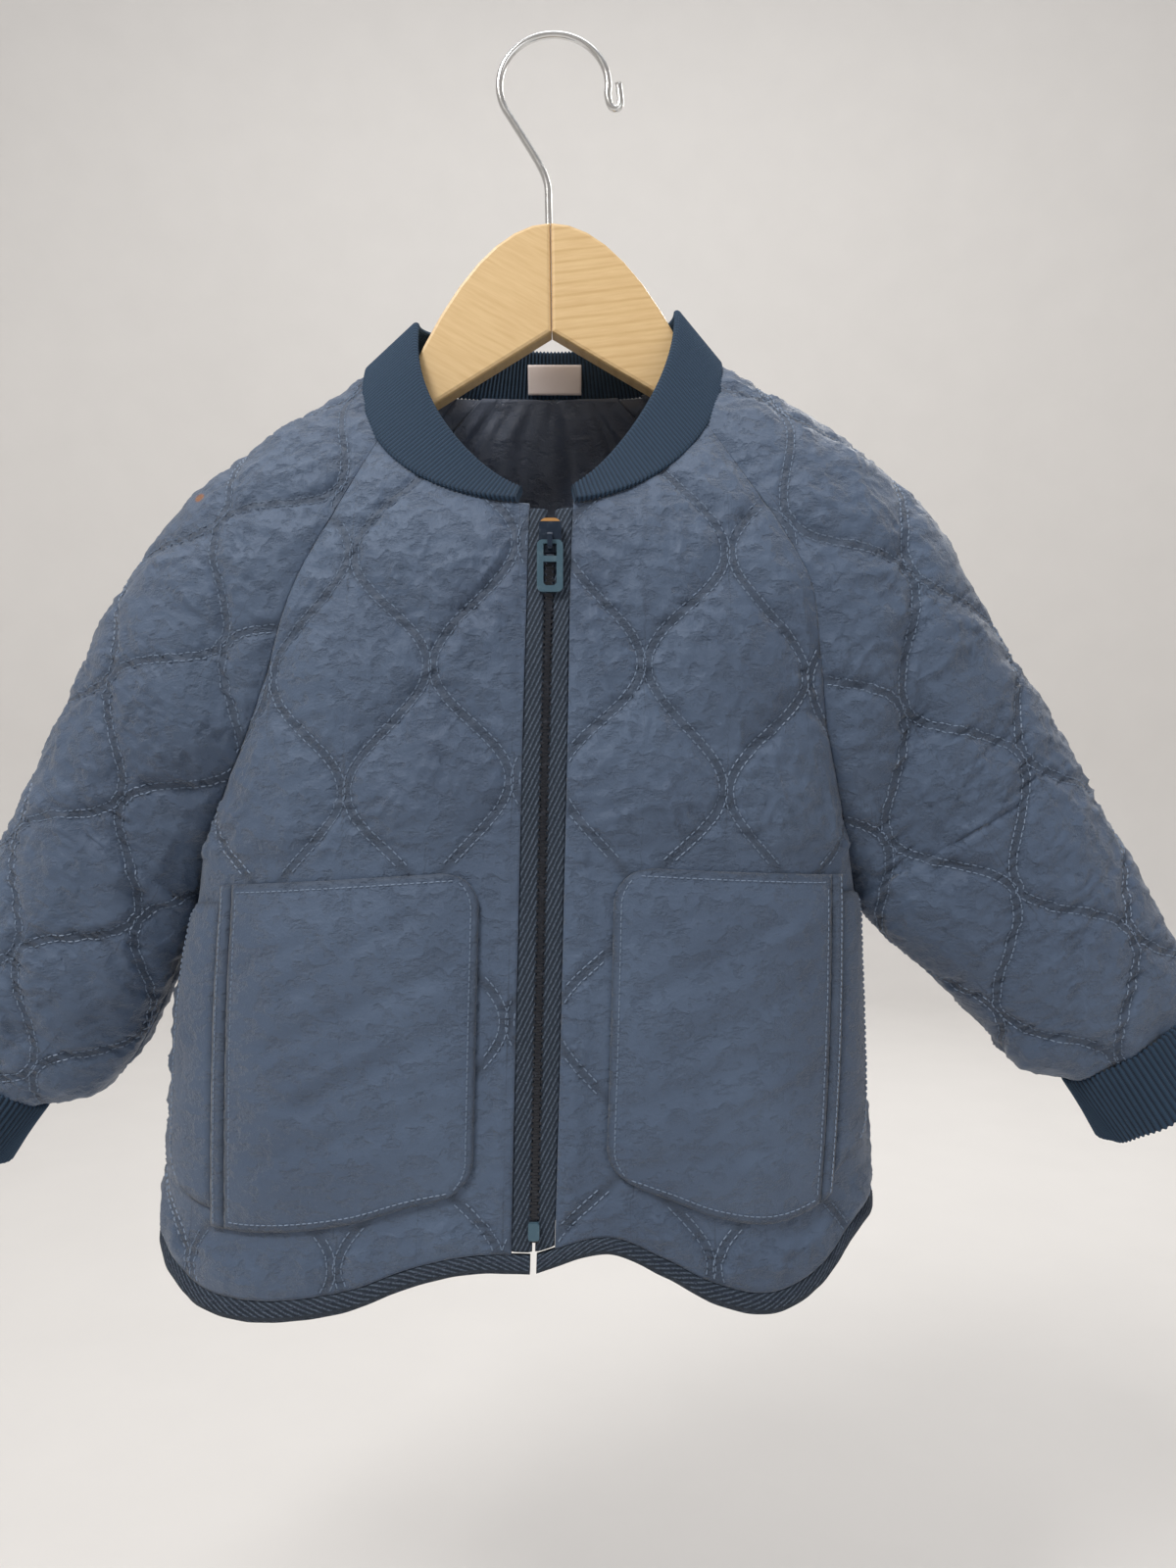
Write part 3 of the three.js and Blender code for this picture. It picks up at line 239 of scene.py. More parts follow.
def hem_share(level):
    """How much of the hem's drop a row takes: all at the hem, none half-way up."""
    return (1 - np.clip(level / 0.5, 0, 1)) ** 1.5


def front_panel(name):
    """Surface of one front, place 0 at the zip and 1 at the side edge."""
    side = SIDES[name]

    def raw(level, t):
        level, t = np.broadcast_arrays(level, t)
        out, p = body_row(zip_line(level), panel_edge(side, "front", level), level, t)
        drop = read(side["hem_drop"], out) - side["hem_drop"][-1][1] * out
        p[..., 2] -= drop * hem_share(level)
        return p

    def at(level, t):
        level, t = np.broadcast_arrays(level, t)
        neck = neck_point(side, np.radians(mix(90, side["front_turn"], t)))
        share = np.clip((level - 0.8) / 0.2, 0, 1)[..., None] ** 2
        return raw(level, t) + share * (neck - raw(np.ones_like(level), t))

    return at


def back_panel(level, t):
    """Surface of the back, place 0 at the left side edge and 1 at the right one."""
    def raw(level, t):
        left = panel_edge(SIDES["left"], "back", level)
        right = panel_edge(SIDES["right"], "back", level)
        z = (left[..., 2] + right[..., 2]) / 2
        above = np.clip((level - UNDERARM) / (1 - UNDERARM), 0, 1)
        middle = np.stack([(left[..., 0] + right[..., 0]) / 2, read(BACK_DEPTH, level),
                           mix(z, NECK_BACK[2], above ** 2)], axis=-1)
        across = 2 * t - 1
        edge = np.where((across < 0)[..., None], left, right)
        out, p = body_row(middle, edge, level, np.abs(across))
        p[..., 2] -= 22 * (1 - out ** 3) * hem_share(level)
        return p

    level, t = np.broadcast_arrays(level, t)
    neck = np.where((t < 0.5)[..., None],
                    neck_point(SIDES["left"], np.radians(mix(-90, -55, np.abs(2 * t - 1)))),
                    neck_point(SIDES["right"], np.radians(mix(-90, -55, np.abs(2 * t - 1)))))
    share = np.clip((level - 0.8) / 0.2, 0, 1)[..., None] ** 2
    return raw(level, t) + share * (neck - raw(np.ones_like(level), t))


def even_rows(at, levels, first, last, columns, samples=360):
    """A grid of a surface: each row runs evenly from first to last mm short of its two ends."""
    dense_t = np.linspace(0, 1, samples)
    dense = at(levels[:, None], dense_t[None, :])
    run = np.cumsum(np.linalg.norm(np.diff(dense, axis=1), axis=2), axis=1)
    run = np.concatenate([np.zeros((len(levels), 1)), run], axis=1)
    first, last = np.broadcast_to(first, levels.shape), np.broadcast_to(last, levels.shape)
    t = np.array([np.interp(np.linspace(a, r[-1] - b, columns), r, dense_t)
                  for r, a, b in zip(run, first, last)])
    far = np.array([np.interp(row, dense_t, r) for r, row in zip(run, t)])
    return t, at(levels[:, None], t), far


def facing(points, towards):
    """Unit normals of a grid from its own differences, on the side that towards picks."""
    across = np.gradient(points, axis=1)
    up = np.gradient(points, axis=0)
    normal = np.cross(across, up) * towards
    return normal / np.maximum(np.linalg.norm(normal, axis=2, keepdims=True), 1e-9)


# Quilting: double rows of stitches swing left and right and nearly meet, so that the padded shell
# stands up in rows of onion-shaped puffs. It is sewn through before the panels are cut.
PITCH = 68.5
PERIOD = 97
SWING = 0.93
NEEDLES = 1.7


def line_across(k, along):
    """Where stitched line number k lies across the cloth."""
    hand = 1 - 2 * (k % 2)
    return (k + 0.5) * PITCH / 2 + hand * SWING * PITCH / 4 * np.cos(2 * np.pi * along / PERIOD)


def line_slant(along):
    """Length of a stitched line for each millimetre along the cloth."""
    slope = SWING * PITCH / 4 * 2 * np.pi / PERIOD * np.sin(2 * np.pi * along / PERIOD)
    return np.sqrt(1 + slope ** 2)


def quilt_place(across, along):
    """Signed distance to the nearest line, that line's number, the room between the two lines,
    and where in it."""
    k = np.floor(across / (PITCH / 2)) - 2
    for _ in range(5):
        k = np.where(line_across(k + 1, along) <= across, k + 1, k)
    left, right = line_across(k, along), line_across(k + 1, along)
    leftward = across - left < right - across
    near = np.where(leftward, across - left, across - right)
    return (near / line_slant(along), np.where(leftward, k, k + 1), right - left,
            (across - left) / (right - left))


random_table = np.random.default_rng(11).random((97, 97))


def lumps(u, v, seed=0):
    """Smooth random heights from 0 to 1 on a lattice of unit cells."""
    i, j = np.floor(u).astype(int), np.floor(v).astype(int)
    a, b = ease(u - i), ease(v - j)
    at = lambda p, q: random_table[(p + 31 * seed) % 97, (q + 17 * seed) % 97]
    return mix(mix(at(i, j), at(i + 1, j), a), mix(at(i, j + 1), at(i + 1, j + 1), a), b)


def creases(u, v, seed):
    """Sharp-crested creases from 0 to 1: lumps folded at their middle height, with the lattice
    pushed about so that the creases bend and end."""
    du, dv = lumps(u * 0.45, v * 0.45, seed + 1), lumps(u * 0.45, v * 0.45, seed + 2)
    folded = lumps(u + 1.7 * du, v + 1.7 * dv, seed)
    return (1 - np.abs(2 * folded - 1)) ** 2.2 * lumps(u * 0.3, v * 0.3, seed + 3)


def crinkled(across, along, flat):
    """The washed shell's creases: long pulls, short ones and fine ones, in mm, and a pucker
    between the stitches that dies out a few mm from each line."""
    near, k = quilt_place(across, along)[:2]
    far = np.maximum(np.abs(near) - NEEDLES, 0)
    run = along * line_slant(along)
    pucker = (lumps(run / 2.6 + 13 * k, far / 9, 4) - 0.5) * np.exp(-far / 4.5)
    slow = creases(across / 13 + along / 40, along / 21 - across / 60, 5)
    short = creases(across / 7, along / 5.5, 9) + 0.7 * creases(along / 6.5, across / 9, 13)
    fine = creases(across / 3.1, along / 3.6, 21)
    open_cloth = 1 - 0.6 * np.exp(-far / 1.5)
    return flat * (2.2 * pucker + open_cloth * (2.0 * slow + 1.5 * short + 0.6 * fine) - 0.6)


SOLVER = {"scale": 0.05, "frames": 18, "pressure": 0.3, "slack": 0.03, "every": 2, "share": 0.6,
          "cap": 4.4}


def blown_up(points, normal, across, along, flat):
    """The padded shell by cloth simulation: a sheet held on the stitch rows and along its seams,
    a little too long for its room, with the wadding's pressure behind it. Returns the height off
    the panel at each point of the grid, capped."""
    step = SOLVER["every"]
    near = quilt_place(across, along)[0]
    start = points + normal * (0.4 + 0.9 * lumps(across / 8, along / 8, 3) * flat)[..., None]
    sparse = start[::step, ::step]
    held = (np.abs(near) < NEEDLES + 0.2) | (flat < 0.5)
    held = held[::step, ::step]
    rows, columns = sparse.shape[:2]
    quads = grid_quads(rows, columns)
    a, b, c = (sparse.reshape(-1, 3)[quads[:, j]] for j in (0, 1, 2))
    towards = (np.cross(b - a, c - a) * normal[::step, ::step].reshape(-1, 3)[quads[:, 0]]).sum()
    if towards <= 0:
        quads = quads[:, ::-1]
    mesh = bpy.data.meshes.new("solver_sheet")
    mesh.from_pydata(sparse.reshape(-1, 3) * SOLVER["scale"], [], quads)
    sheet = bpy.data.objects.new("solver_sheet", mesh)
    bpy.context.collection.objects.link(sheet)
    group = sheet.vertex_groups.new(name="held")
    group.add(np.flatnonzero(held.ravel()).tolist(), 1.0, "REPLACE")
    solver = sheet.modifiers.new("solver", "CLOTH")
    solver.settings.vertex_group_mass = "held"
    solver.settings.quality = 5
    solver.settings.mass = 0.25
    solver.settings.tension_stiffness = 12
    solver.settings.compression_stiffness = 12
    solver.settings.shear_stiffness = 6
    solver.settings.bending_stiffness = 0.08
    solver.settings.effector_weights.gravity = 0
    solver.settings.use_pressure = True
    solver.settings.uniform_pressure_force = SOLVER["pressure"]
    solver.settings.shrink_min = -SOLVER["slack"]
    solver.collision_settings.use_collision = False
    solver.collision_settings.use_self_collision = False
    for number in range(1, SOLVER["frames"] + 1):
        bpy.context.scene.frame_set(number)
    settled = sheet.evaluated_get(bpy.context.evaluated_depsgraph_get()).to_mesh()
    moved = np.empty(rows * columns * 3, dtype=np.float32)
    settled.vertices.foreach_get("co", moved)
    bpy.data.objects.remove(sheet)
    bpy.data.meshes.remove(mesh)
    bpy.context.scene.frame_set(1)
    offset = moved.reshape(rows, columns, 3) / SOLVER["scale"] - points[::step, ::step]
    height = (offset * normal[::step, ::step]).sum(axis=2)
    full_rows = np.linspace(0, rows - 1, points.shape[0])
    full_columns = np.linspace(0, columns - 1, points.shape[1])
    height = np.stack([np.interp(full_columns, np.arange(columns), row) for row in height])
    height = np.stack([np.interp(full_rows, np.arange(rows), column) for column in height.T], axis=1)
    for _ in range(2):
        height[1:-1] = (height[:-2] + 2 * height[1:-1] + height[2:]) / 4
        height[:, 1:-1] = (height[:, :-2] + 2 * height[:, 1:-1] + height[:, 2:]) / 4
    far = np.maximum(np.abs(near) - NEEDLES, 0)
    rib = 0.45 * np.clip(1 - (near / NEEDLES) ** 2, 0, 1) * flat
    return np.clip(height * SOLVER["share"], 0, SOLVER["cap"]) * (1 - np.exp(-(far + 0.1) / 1.2)) + rib


def quilted(points, normal, across, along, flat):
    """Height of the padded shell off its panel, with its creases."""
    height = blown_up(points, normal, across, along, flat)
    return height + crinkled(across, along, flat)


def grid_quads(rows, columns):
    """Quads between neighbouring points of a grid, row by row."""
    i = np.arange((rows - 1) * columns).reshape(rows - 1, columns)[:, :-1].ravel()
    return np.stack([i, i + 1, i + columns + 1, i + columns], axis=1)


def grid_border(rows, columns, step=1):
    """The grid's points round its four edges: bottom, right, top, left."""
    index = np.arange(rows * columns).reshape(rows, columns)
    return np.concatenate([index[0, :-1:step], index[:-1:step, -1],
                           index[-1, :0:-step], index[:0:-step, 0]])


def closed_cloth(name, outer, inner, cloth, coarse, materials):
    """A wall of cloth: a fine outer grid, an inner grid coarser by a whole number, and a rim of
    one face for each inner edge. cloth is each outer point's place on the flat cloth."""
    rows, columns = outer.shape[:2]
    inner = inner[::coarse, ::coarse]
    count = rows * columns
    points = np.concatenate([outer.reshape(-1, 3), inner.reshape(-1, 3)])
    front = grid_quads(rows, columns)
    back = grid_quads(*inner.shape[:2])[:, ::-1] + count
    edge_out = grid_border(rows, columns)
    edge_in = grid_border(*inner.shape[:2]) + count
    fan = edge_out.reshape(-1, coarse)
    rim = np.concatenate([fan, np.roll(fan, -1, axis=0)[:, :1]], axis=1)[:, ::-1]
    rim = np.concatenate([rim, edge_in[:, None], np.roll(edge_in, -1)[:, None]], axis=1)
    a, b, c = (points[front[:, k]] for k in (0, 1, 2))
    a2, b2, c2 = (points[back[:, k]] for k in (0, 1, 2))
    inside_out = (a * np.cross(b, c)).sum() + (a2 * np.cross(b2, c2)).sum() < 0
    faces = [f[:, ::-1] if inside_out else f for f in (front, back, rim)]
    flat = np.concatenate([cloth.reshape(-1, cloth.shape[-1]),
                           cloth[::coarse, ::coarse].reshape(-1, cloth.shape[-1])])
    mesh = bpy.data.meshes.new(name)
    mesh.from_pydata(points * 0.001, [], [face for f in faces for face in f.tolist()])
    kind = np.concatenate([np.zeros(len(front)), np.ones(len(back)), np.zeros(len(rim))])
    return dress(name, mesh, flat, kind if len(materials) > 1 else None, materials)


def dress(name, mesh, flat, kind, materials):
    """Turns a mesh into a piece: smooth faces, its cloth map in metres, its materials."""
    loops = np.empty(len(mesh.loops), dtype=np.int32)
    mesh.loops.foreach_get("vertex_index", loops)
    chart = mesh.uv_layers.new(name="cloth")
    chart.data.foreach_set("uv", (flat[loops, :2] * 0.001).astype(np.float32).ravel())
    if flat.shape[1] > 2:
        seam = mesh.attributes.new("seam", "FLOAT", "POINT")
        seam.data.foreach_set("value", flat[:, 2].astype(np.float32))
    for material in materials:
        mesh.materials.append(material)
    if kind is not None:
        mesh.polygons.foreach_set("material_index", kind.astype(np.int32))
    mesh.polygons.foreach_set("use_smooth", np.ones(len(mesh.polygons), dtype=bool))
    mesh.update()
    piece = bpy.data.objects.new(name, mesh)
    bpy.context.collection.objects.link(piece)
    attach(piece, "garment")
    return piece


# Cloths. The shell is a fine crinkled polyester; the lining is a darker satin of the same. Both
# carry their weave and crinkle on the map of the flat cloth.
def node_chain(material):
    """The material's nodes, links and shader."""
    material.use_nodes = True
    tree = material.node_tree
    return tree.nodes, tree.links, tree.nodes["Principled BSDF"]


SPOT = (-0.1485, 0, -0.2155)


def cloth_material(name, dark, light, roughness, weave, crinkle, sheen, relief):
    """Fine weave and crinkle on the cloth's own map; the colour drifts softly and carries painted
    shade in the stitched grooves, darker where the attribute seam is near 0. The rust spot on the
    left shoulder is placed by X and Z alone, so it shows on the sleeve's back too."""
    material = bpy.data.materials.new(name)
    nodes, links, shader = node_chain(material)
    shader.inputs["Roughness"].default_value = roughness
    shader.inputs["Sheen Weight"].default_value = sheen
    shader.inputs["Sheen Roughness"].default_value = 0.4
    chart = nodes.new("ShaderNodeUVMap")
    chart.uv_map = "cloth"
    place = nodes.new("ShaderNodeTexCoord")

    def noise(scale, detail, source, rough=0.5, stretch=None):
        made = nodes.new("ShaderNodeTexNoise")
        made.inputs["Scale"].default_value = scale
        made.inputs["Detail"].default_value = detail
        made.inputs["Roughness"].default_value = rough
        if stretch:
            turn = nodes.new("ShaderNodeMapping")
            turn.inputs["Scale"].default_value = stretch
            links.new(source, turn.inputs["Vector"])
            source = turn.outputs["Vector"]
        links.new(source, made.inputs["Vector"])
        return made.outputs["Fac"]

    def sum_of(a, b, share):
        made = nodes.new("ShaderNodeMath")
        made.operation = "MULTIPLY_ADD"
        made.inputs[1].default_value = share
        links.new(a, made.inputs[0])
        if b is None:
            made.inputs[2].default_value = 0
        else:
            links.new(b, made.inputs[2])
        return made.outputs["Value"]

    drift = noise(14, 5, place.outputs["Object"], 0.6)
    ramp = nodes.new("ShaderNodeValToRGB")
    ramp.color_ramp.elements[0].position = 0.3
    ramp.color_ramp.elements[0].color = (*dark, 1)
    ramp.color_ramp.elements[1].position = 0.72
    ramp.color_ramp.elements[1].color = (*light, 1)
    links.new(drift, ramp.inputs["Fac"])
    # Painted shade: from 3.4 mm down to 0.4 mm from where the attribute seam is 0 (the stitch lines,
    # and the edges of the pockets) the colour is multiplied down to 0.66, as if the grooves lay in
    # shade.
    seam = nodes.new("ShaderNodeAttribute")
    seam.attribute_name = "seam"
    away = nodes.new("ShaderNodeMath")
    away.operation = "ABSOLUTE"
    links.new(seam.outputs["Fac"], away.inputs[0])
    painted_shade_scale = nodes.new("ShaderNodeMapRange")
    painted_shade_scale.inputs["From Min"].default_value = 0.4
    painted_shade_scale.inputs["From Max"].default_value = 3.4
    painted_shade_scale.inputs["To Min"].default_value = 0.66
    links.new(away.outputs["Value"], painted_shade_scale.inputs["Value"])
    painted_groove_shade = nodes.new("ShaderNodeMix")
    painted_groove_shade.data_type = "RGBA"
    painted_groove_shade.blend_type = "MULTIPLY"
    painted_groove_shade.inputs[0].default_value = 1
    links.new(ramp.outputs["Color"], painted_groove_shade.inputs[6])
    links.new(painted_shade_scale.outputs["Result"], painted_groove_shade.inputs[7])
    level_place = nodes.new("ShaderNodeMapping")
    level_place.inputs["Scale"].default_value = (1, 0, 1)
    links.new(place.outputs["Object"], level_place.inputs["Vector"])
    reach = nodes.new("ShaderNodeVectorMath")
    reach.operation = "DISTANCE"
    reach.inputs[1].default_value = SPOT
    links.new(level_place.outputs["Vector"], reach.inputs[0])
    inside = nodes.new("ShaderNodeMapRange")
    inside.inputs["From Min"].default_value = 0.0026
    inside.inputs["From Max"].default_value = 0.0016
    links.new(reach.outputs["Value"], inside.inputs["Value"])
    spotted = nodes.new("ShaderNodeMix")
    spotted.data_type = "RGBA"
    spotted.inputs[7].default_value = (0.26, 0.10, 0.035, 1)
    links.new(inside.outputs["Result"], spotted.inputs[0])
    links.new(painted_groove_shade.outputs[2], spotted.inputs[6])
    links.new(spotted.outputs[2], shader.inputs["Base Color"])
    lumps_out = noise(crinkle, 6, place.outputs["Object"], 0.66, (1, 1, 1.5))
    centred = nodes.new("ShaderNodeMath")
    centred.operation = "SUBTRACT"
    centred.inputs[1].default_value = 0.5
    links.new(lumps_out, centred.inputs[0])
    folded = nodes.new("ShaderNodeMath")
    folded.operation = "ABSOLUTE"
    links.new(centred.outputs["Value"], folded.inputs[0])
    crests = sum_of(folded.outputs["Value"], lumps_out, -1.6)
    threads = noise(weave, 2, chart.outputs["UV"], 0.5, (1, 0.35, 1))
    height = sum_of(threads, sum_of(crests, None, 1.0), 0.12)
    bump = nodes.new("ShaderNodeBump")
    bump.inputs["Strength"].default_value = 0.8
    bump.inputs["Distance"].default_value = relief
    links.new(height, bump.inputs["Height"])
    links.new(bump.outputs["Normal"], shader.inputs["Normal"])
    return material


shell_cloth = cloth_material("shell_cloth", (0.058, 0.090, 0.152), (0.082, 0.124, 0.200),
                             roughness=0.58, weave=2600, crinkle=130, sheen=0.3, relief=0.0022)
lining_cloth = cloth_material("lining_cloth", (0.042, 0.056, 0.095), (0.080, 0.104, 0.160),
                              roughness=0.36, weave=2600, crinkle=90, sheen=0.1, relief=0.0018)

# Fronts and back: padded shell on the panels' surfaces, lined behind, sewn together at the side
# seams. The fronts leave room for the zip tapes and lie flat under the pockets.
WALL = 3
CLOTH_STEP = 1.25
BACK_STEP = 1.7


def seam_flat(far, total, from_end):
    """1 on the panel, falling to nearly 0 along its seams."""
    near = np.minimum(np.minimum(far, total - far), from_end)
    return ease(near / 9 + 0.1) ** 0.6


def level_grid(low, high, step, coarse):
    """Evenly spaced levels, as many as make a whole number of coarse steps."""
    count = int(round((high - low) * BODY_TALL / step / coarse)) * coarse
    return np.linspace(low, high, count + 1)


def count_columns(length, step, coarse):
    """A column count that makes a whole number of coarse steps."""
    return int(round(length / step / coarse)) * coarse + 1


TAPE_WIDE = 8.6
HEM_BAND = 6.8
COARSE = 3
panels = {}
for name, side in SIDES.items():
    surface = front_panel(name)
    low, high = (HEM_BAND + 1.2) / BODY_TALL, 1 - 1.2 / BODY_TALL
    levels = level_grid(low, high, CLOTH_STEP, COARSE)
    columns = count_columns(170, CLOTH_STEP, COARSE)
    t, points, far = even_rows(surface, levels, TAPE_WIDE + 0.4, 0.1, columns)
    normal = facing(points, side["hand"])
    level = np.broadcast_to(levels[:, None], t.shape)
    flat_step = np.linalg.norm(np.diff(points[..., :2], axis=1), axis=2)
    run = np.concatenate([np.zeros((len(levels), 1)), np.cumsum(flat_step, axis=1)], axis=1)
    cloth_across = side["hand"] * run + 3.75
    cloth_along = points[..., 2] + 0.07 * run + 287.5
    pocket = side["pocket"]
    past = np.minimum(np.minimum(far - pocket["inner"], pocket["outer"] - far),
                      np.minimum(level - pocket["bottom"], pocket["top"] - level) * BODY_TALL)
    total = far[:, -1:]
    flat = seam_flat(far - far[:, :1], total - far[:, :1],
                     np.minimum(level - low, high - level) * BODY_TALL)
    flat = flat * (1 - ease((past + 12) / 6))
    height = quilted(points, normal, cloth_across, cloth_along, flat)
    seam_at = quilt_place(cloth_across, cloth_along)[0]
    cloth = np.stack([cloth_across, cloth_along, seam_at], axis=-1)
    outer = points + normal * height[..., None]
    piece = closed_cloth(f"front_{name}_shell", outer, points - normal * WALL, cloth,
                         COARSE, [shell_cloth, lining_cloth])
    panels[name] = {"surface": surface, "outer": outer, "normal": normal,
                    "across": cloth_across, "along": cloth_along, "covered": past > -2}
    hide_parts(f"front_{name}")

levels = level_grid((HEM_BAND + 1.2) / BODY_TALL, 1 - 1.2 / BODY_TALL, BACK_STEP, COARSE)
t, points, far = even_rows(back_panel, levels, 0.1, 0.1, count_columns(340, BACK_STEP, COARSE))
normal = facing(points, -1)
flat_step = np.linalg.norm(np.diff(points[..., :2], axis=1), axis=2)
run = np.concatenate([np.zeros((len(levels), 1)), np.cumsum(flat_step, axis=1)], axis=1)
middle = run[:, [run.shape[1] // 2]]
cloth_across = middle - run
cloth_along = points[..., 2] + 0.07 * run + 287.5
level = np.broadcast_to(levels[:, None], t.shape)
flat = seam_flat(far, far[:, -1:], np.minimum(level - levels[0], levels[-1] - level) * BODY_TALL)
height = quilted(points, normal, cloth_across, cloth_along, flat)
cloth = np.stack([cloth_across, cloth_along, quilt_place(cloth_across, cloth_along)[0]], axis=-1)
outer = points + normal * height[..., None]
piece = closed_cloth("back_shell", outer, points - normal * WALL, cloth, COARSE,
                     [shell_cloth, lining_cloth])
panels["back"] = {"outer": outer, "normal": normal, "across": cloth_across,
                  "along": cloth_along, "covered": np.zeros(t.shape, bool)}
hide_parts("back")

# Sleeves: cut in one piece each, sewn to both body panels along the raglan seams and to
# themselves under the arm, and gathered into the cuffs.
SLEEVES = {
    "left": {
        "lean": 36, "underarm": 238, "end": 357,
        "grid_along": 135, "grid_across": 33, "grid_period": 80,
        "shape": [(0, 0, 44, 30, 32), (49, -14, 52, 42, 40), (95, -26, 59, 48, 44),
                  (142, -28, 56, 47, 42), (186, -21, 52, 42, 38), (238, -12, 46, 36, 33),
                  (280, -5, 48, 32, 30), (357, 4, 40, 22, 21)],
        "lower_fold": [(238, 80.4), (264, 86), (289, 92), (314, 95), (336, 92), (357, 83)],
        "folds": [(1, 134, 28, 181, 70, 4.5, 9), (1, 236, 30, 262, 46, 3.6, 8),
                  (1, 280, 54, 303, 80, 3.6, 8), (1, 246, 64, 264, 92, 3.4, 8),
                  (1, 330, 20, 357, 27, 3, 7), (1, 328, 54, 357, 50, 3.4, 7),
                  (0, 120, 20, 190, 60, 4, 10), (0, 232, 44, 276, 70, 3.6, 9),
                  (0, 326, 38, 357, 42, 3.2, 8)],
    },
    "right": {
        "lean": 33, "underarm": 235.5, "end": 359,
        "grid_along": 173, "grid_across": 23, "grid_period": 91,
        "shape": [(0, 0, 42, 30, 32), (45, -20, 50, 41, 40), (92, -36, 59, 49, 45),
                  (118, -39, 61, 50, 45), (149, -38, 62, 48, 43), (190, -37, 62, 42, 39),
                  (235.5, -36, 58, 35, 33), (312, -31, 46, 29, 27), (359, -27, 39, 23, 22)],
        "lower_fold": [(235.5, 80.2), (259, 76), (293, 66), (318, 61), (345, 57), (359, 50)],
        "folds": [(1, 94, -22, 181, 24, 4, 9), (1, 181, 24, 246, 64, 5.5, 10),
                  (1, 222, 32, 262, 56, 4, 8), (1, 176, -8, 208, -4, 3, 8),
                  (1, 334, -6, 359, 4, 3, 7), (1, 330, 34, 359, 30, 3.4, 7),
                  (0, 104, -10, 176, 30, 4.5, 10), (0, 226, 20, 270, 44, 4, 9),
                  (0, 328, 14, 359, 12, 3.2, 8)],
    },
}
GATHER = {"length": 22, "width": 0.78, "depth": 0.82}
SLEEVE_ROUND = 2.2


def sleeve_frame(name):
    """The sleeve's axis, the direction across it towards the body, and its shoulder point."""
    side, lean = SIDES[name], np.radians(SLEEVES[name]["lean"])
    axis = np.array([side["hand"] * np.sin(lean), 0, -np.cos(lean)])
    inwards = np.array([-side["hand"] * np.cos(lean), 0, -np.sin(lean)])
    return axis, inwards, np.array([side["shoulder"][0], 0, side["shoulder"][1]], float)


def fold_depth(folds, front, along, across):
    """How far the cloth sinks: each fold is a trough along a straight line, with a bell-shaped
    section. A row holds front or back, both ends, depth and width."""
    depth = np.zeros_like(along)
    for face, a0, c0, a1, c1, deep, wide in folds:
        span = (a1 - a0) ** 2 + (c1 - c0) ** 2
        part = np.clip(((along - a0) * (a1 - a0) + (across - c0) * (c1 - c0)) / span, 0, 1)
        away = (along - a0 - (a1 - a0) * part) ** 2 + (across - c0 - (c1 - c0) * part) ** 2
        depth += np.where(front == bool(face), deep * np.exp(-away / wide ** 2), 0)
    return depth


def sleeve_panel(name):
    """Surface of a sleeve from the back seam over the shoulder to the front seam; below the
    armhole its two edges meet under the arm."""
    side, sleeve = SIDES[name], SLEEVES[name]
    axis, inwards, origin = sleeve_frame(name)

    def raw(level, t):
        level, t = np.broadcast_arrays(level, t)
        front = t > 0.5
        way = np.abs(2 * t - 1)
        closed = level >= ARMHOLE
        below = (level - ARMHOLE) / (1 - ARMHOLE)
        top_along = np.where(closed, mix(sleeve["underarm"], sleeve["end"], below),
                             mix(0, sleeve["underarm"], level / ARMHOLE))
        shape, fold = sleeve["shape"], sleeve["lower_fold"]
        shrink = ease((top_along - sleeve["end"] + GATHER["length"]) / GATHER["length"])
        top, half = read(shape, top_along, 1), read(shape, top_along, 2)
        depth = np.where(front, read(shape, top_along, 3), read(shape, top_along, 4))
        depth = depth * mix(1, GATHER["depth"], shrink)
        fold_across = read(fold, top_along)
        middle = (top + fold_across) / 2
        half_closed = (fold_across - top) / 2 * mix(1, GATHER["width"], shrink)
        seam_level = np.clip(mix(1, UNDERARM, level / ARMHOLE), UNDERARM + 1e-6, 1)
        seam = np.where(front[..., None], panel_edge(side, "front", seam_level),
                        panel_edge(side, "back", seam_level)) - origin
        full = (fold[0][1] - top) / 2
        half_open = mix(half, full, ease((level / ARMHOLE - 0.75) / 0.25))
        end_along = np.where(closed, top_along, seam @ axis)
        end_across = np.where(closed, middle + half_closed, seam @ inwards)
        end_y = np.where(closed, np.where(front, -0.15, 0.15), seam[..., 1])
        top = np.where(closed, middle - half_closed, top)
        half = np.where(closed, half_closed, half_open)
        reach = np.clip(1 - (end_across - top) / half, -1, 1)
        turn = np.arccos(np.sign(reach) * np.abs(reach) ** (SLEEVE_ROUND / 2))
        end_reach = 1 - squared(np.cos(turn), SLEEVE_ROUND)
        part = (1 - squared(np.cos(turn * way), SLEEVE_ROUND)) / end_reach
        hand = np.where(front, -1, 1)
        miss = end_y - hand * depth * squared(np.sin(turn), SLEEVE_ROUND)
        y = hand * depth * squared(np.sin(turn * way), SLEEVE_ROUND) + miss * way * way
        along = mix(top_along, end_along, part)
        across = top + (end_across - top) * part
        sunk = fold_depth(sleeve["folds"], front, along, across) / depth * (1 - way ** 6)
        p = origin + axis * along[..., None] + inwards * across[..., None]
        p[..., 1] = y * (1 - sunk)
        return p

    def at(level, t):
        level, t = np.broadcast_arrays(level, t)
        turn = np.where(t > 0.5, side["front_turn"], side["back_turn"]) * np.abs(2 * t - 1)
        share = (1 - np.clip(level / 0.15, 0, 1))[..., None] ** 2
        neck = neck_point(side, np.radians(turn))
        return raw(level, t) + share * (neck - raw(np.zeros_like(level), t))

    return at


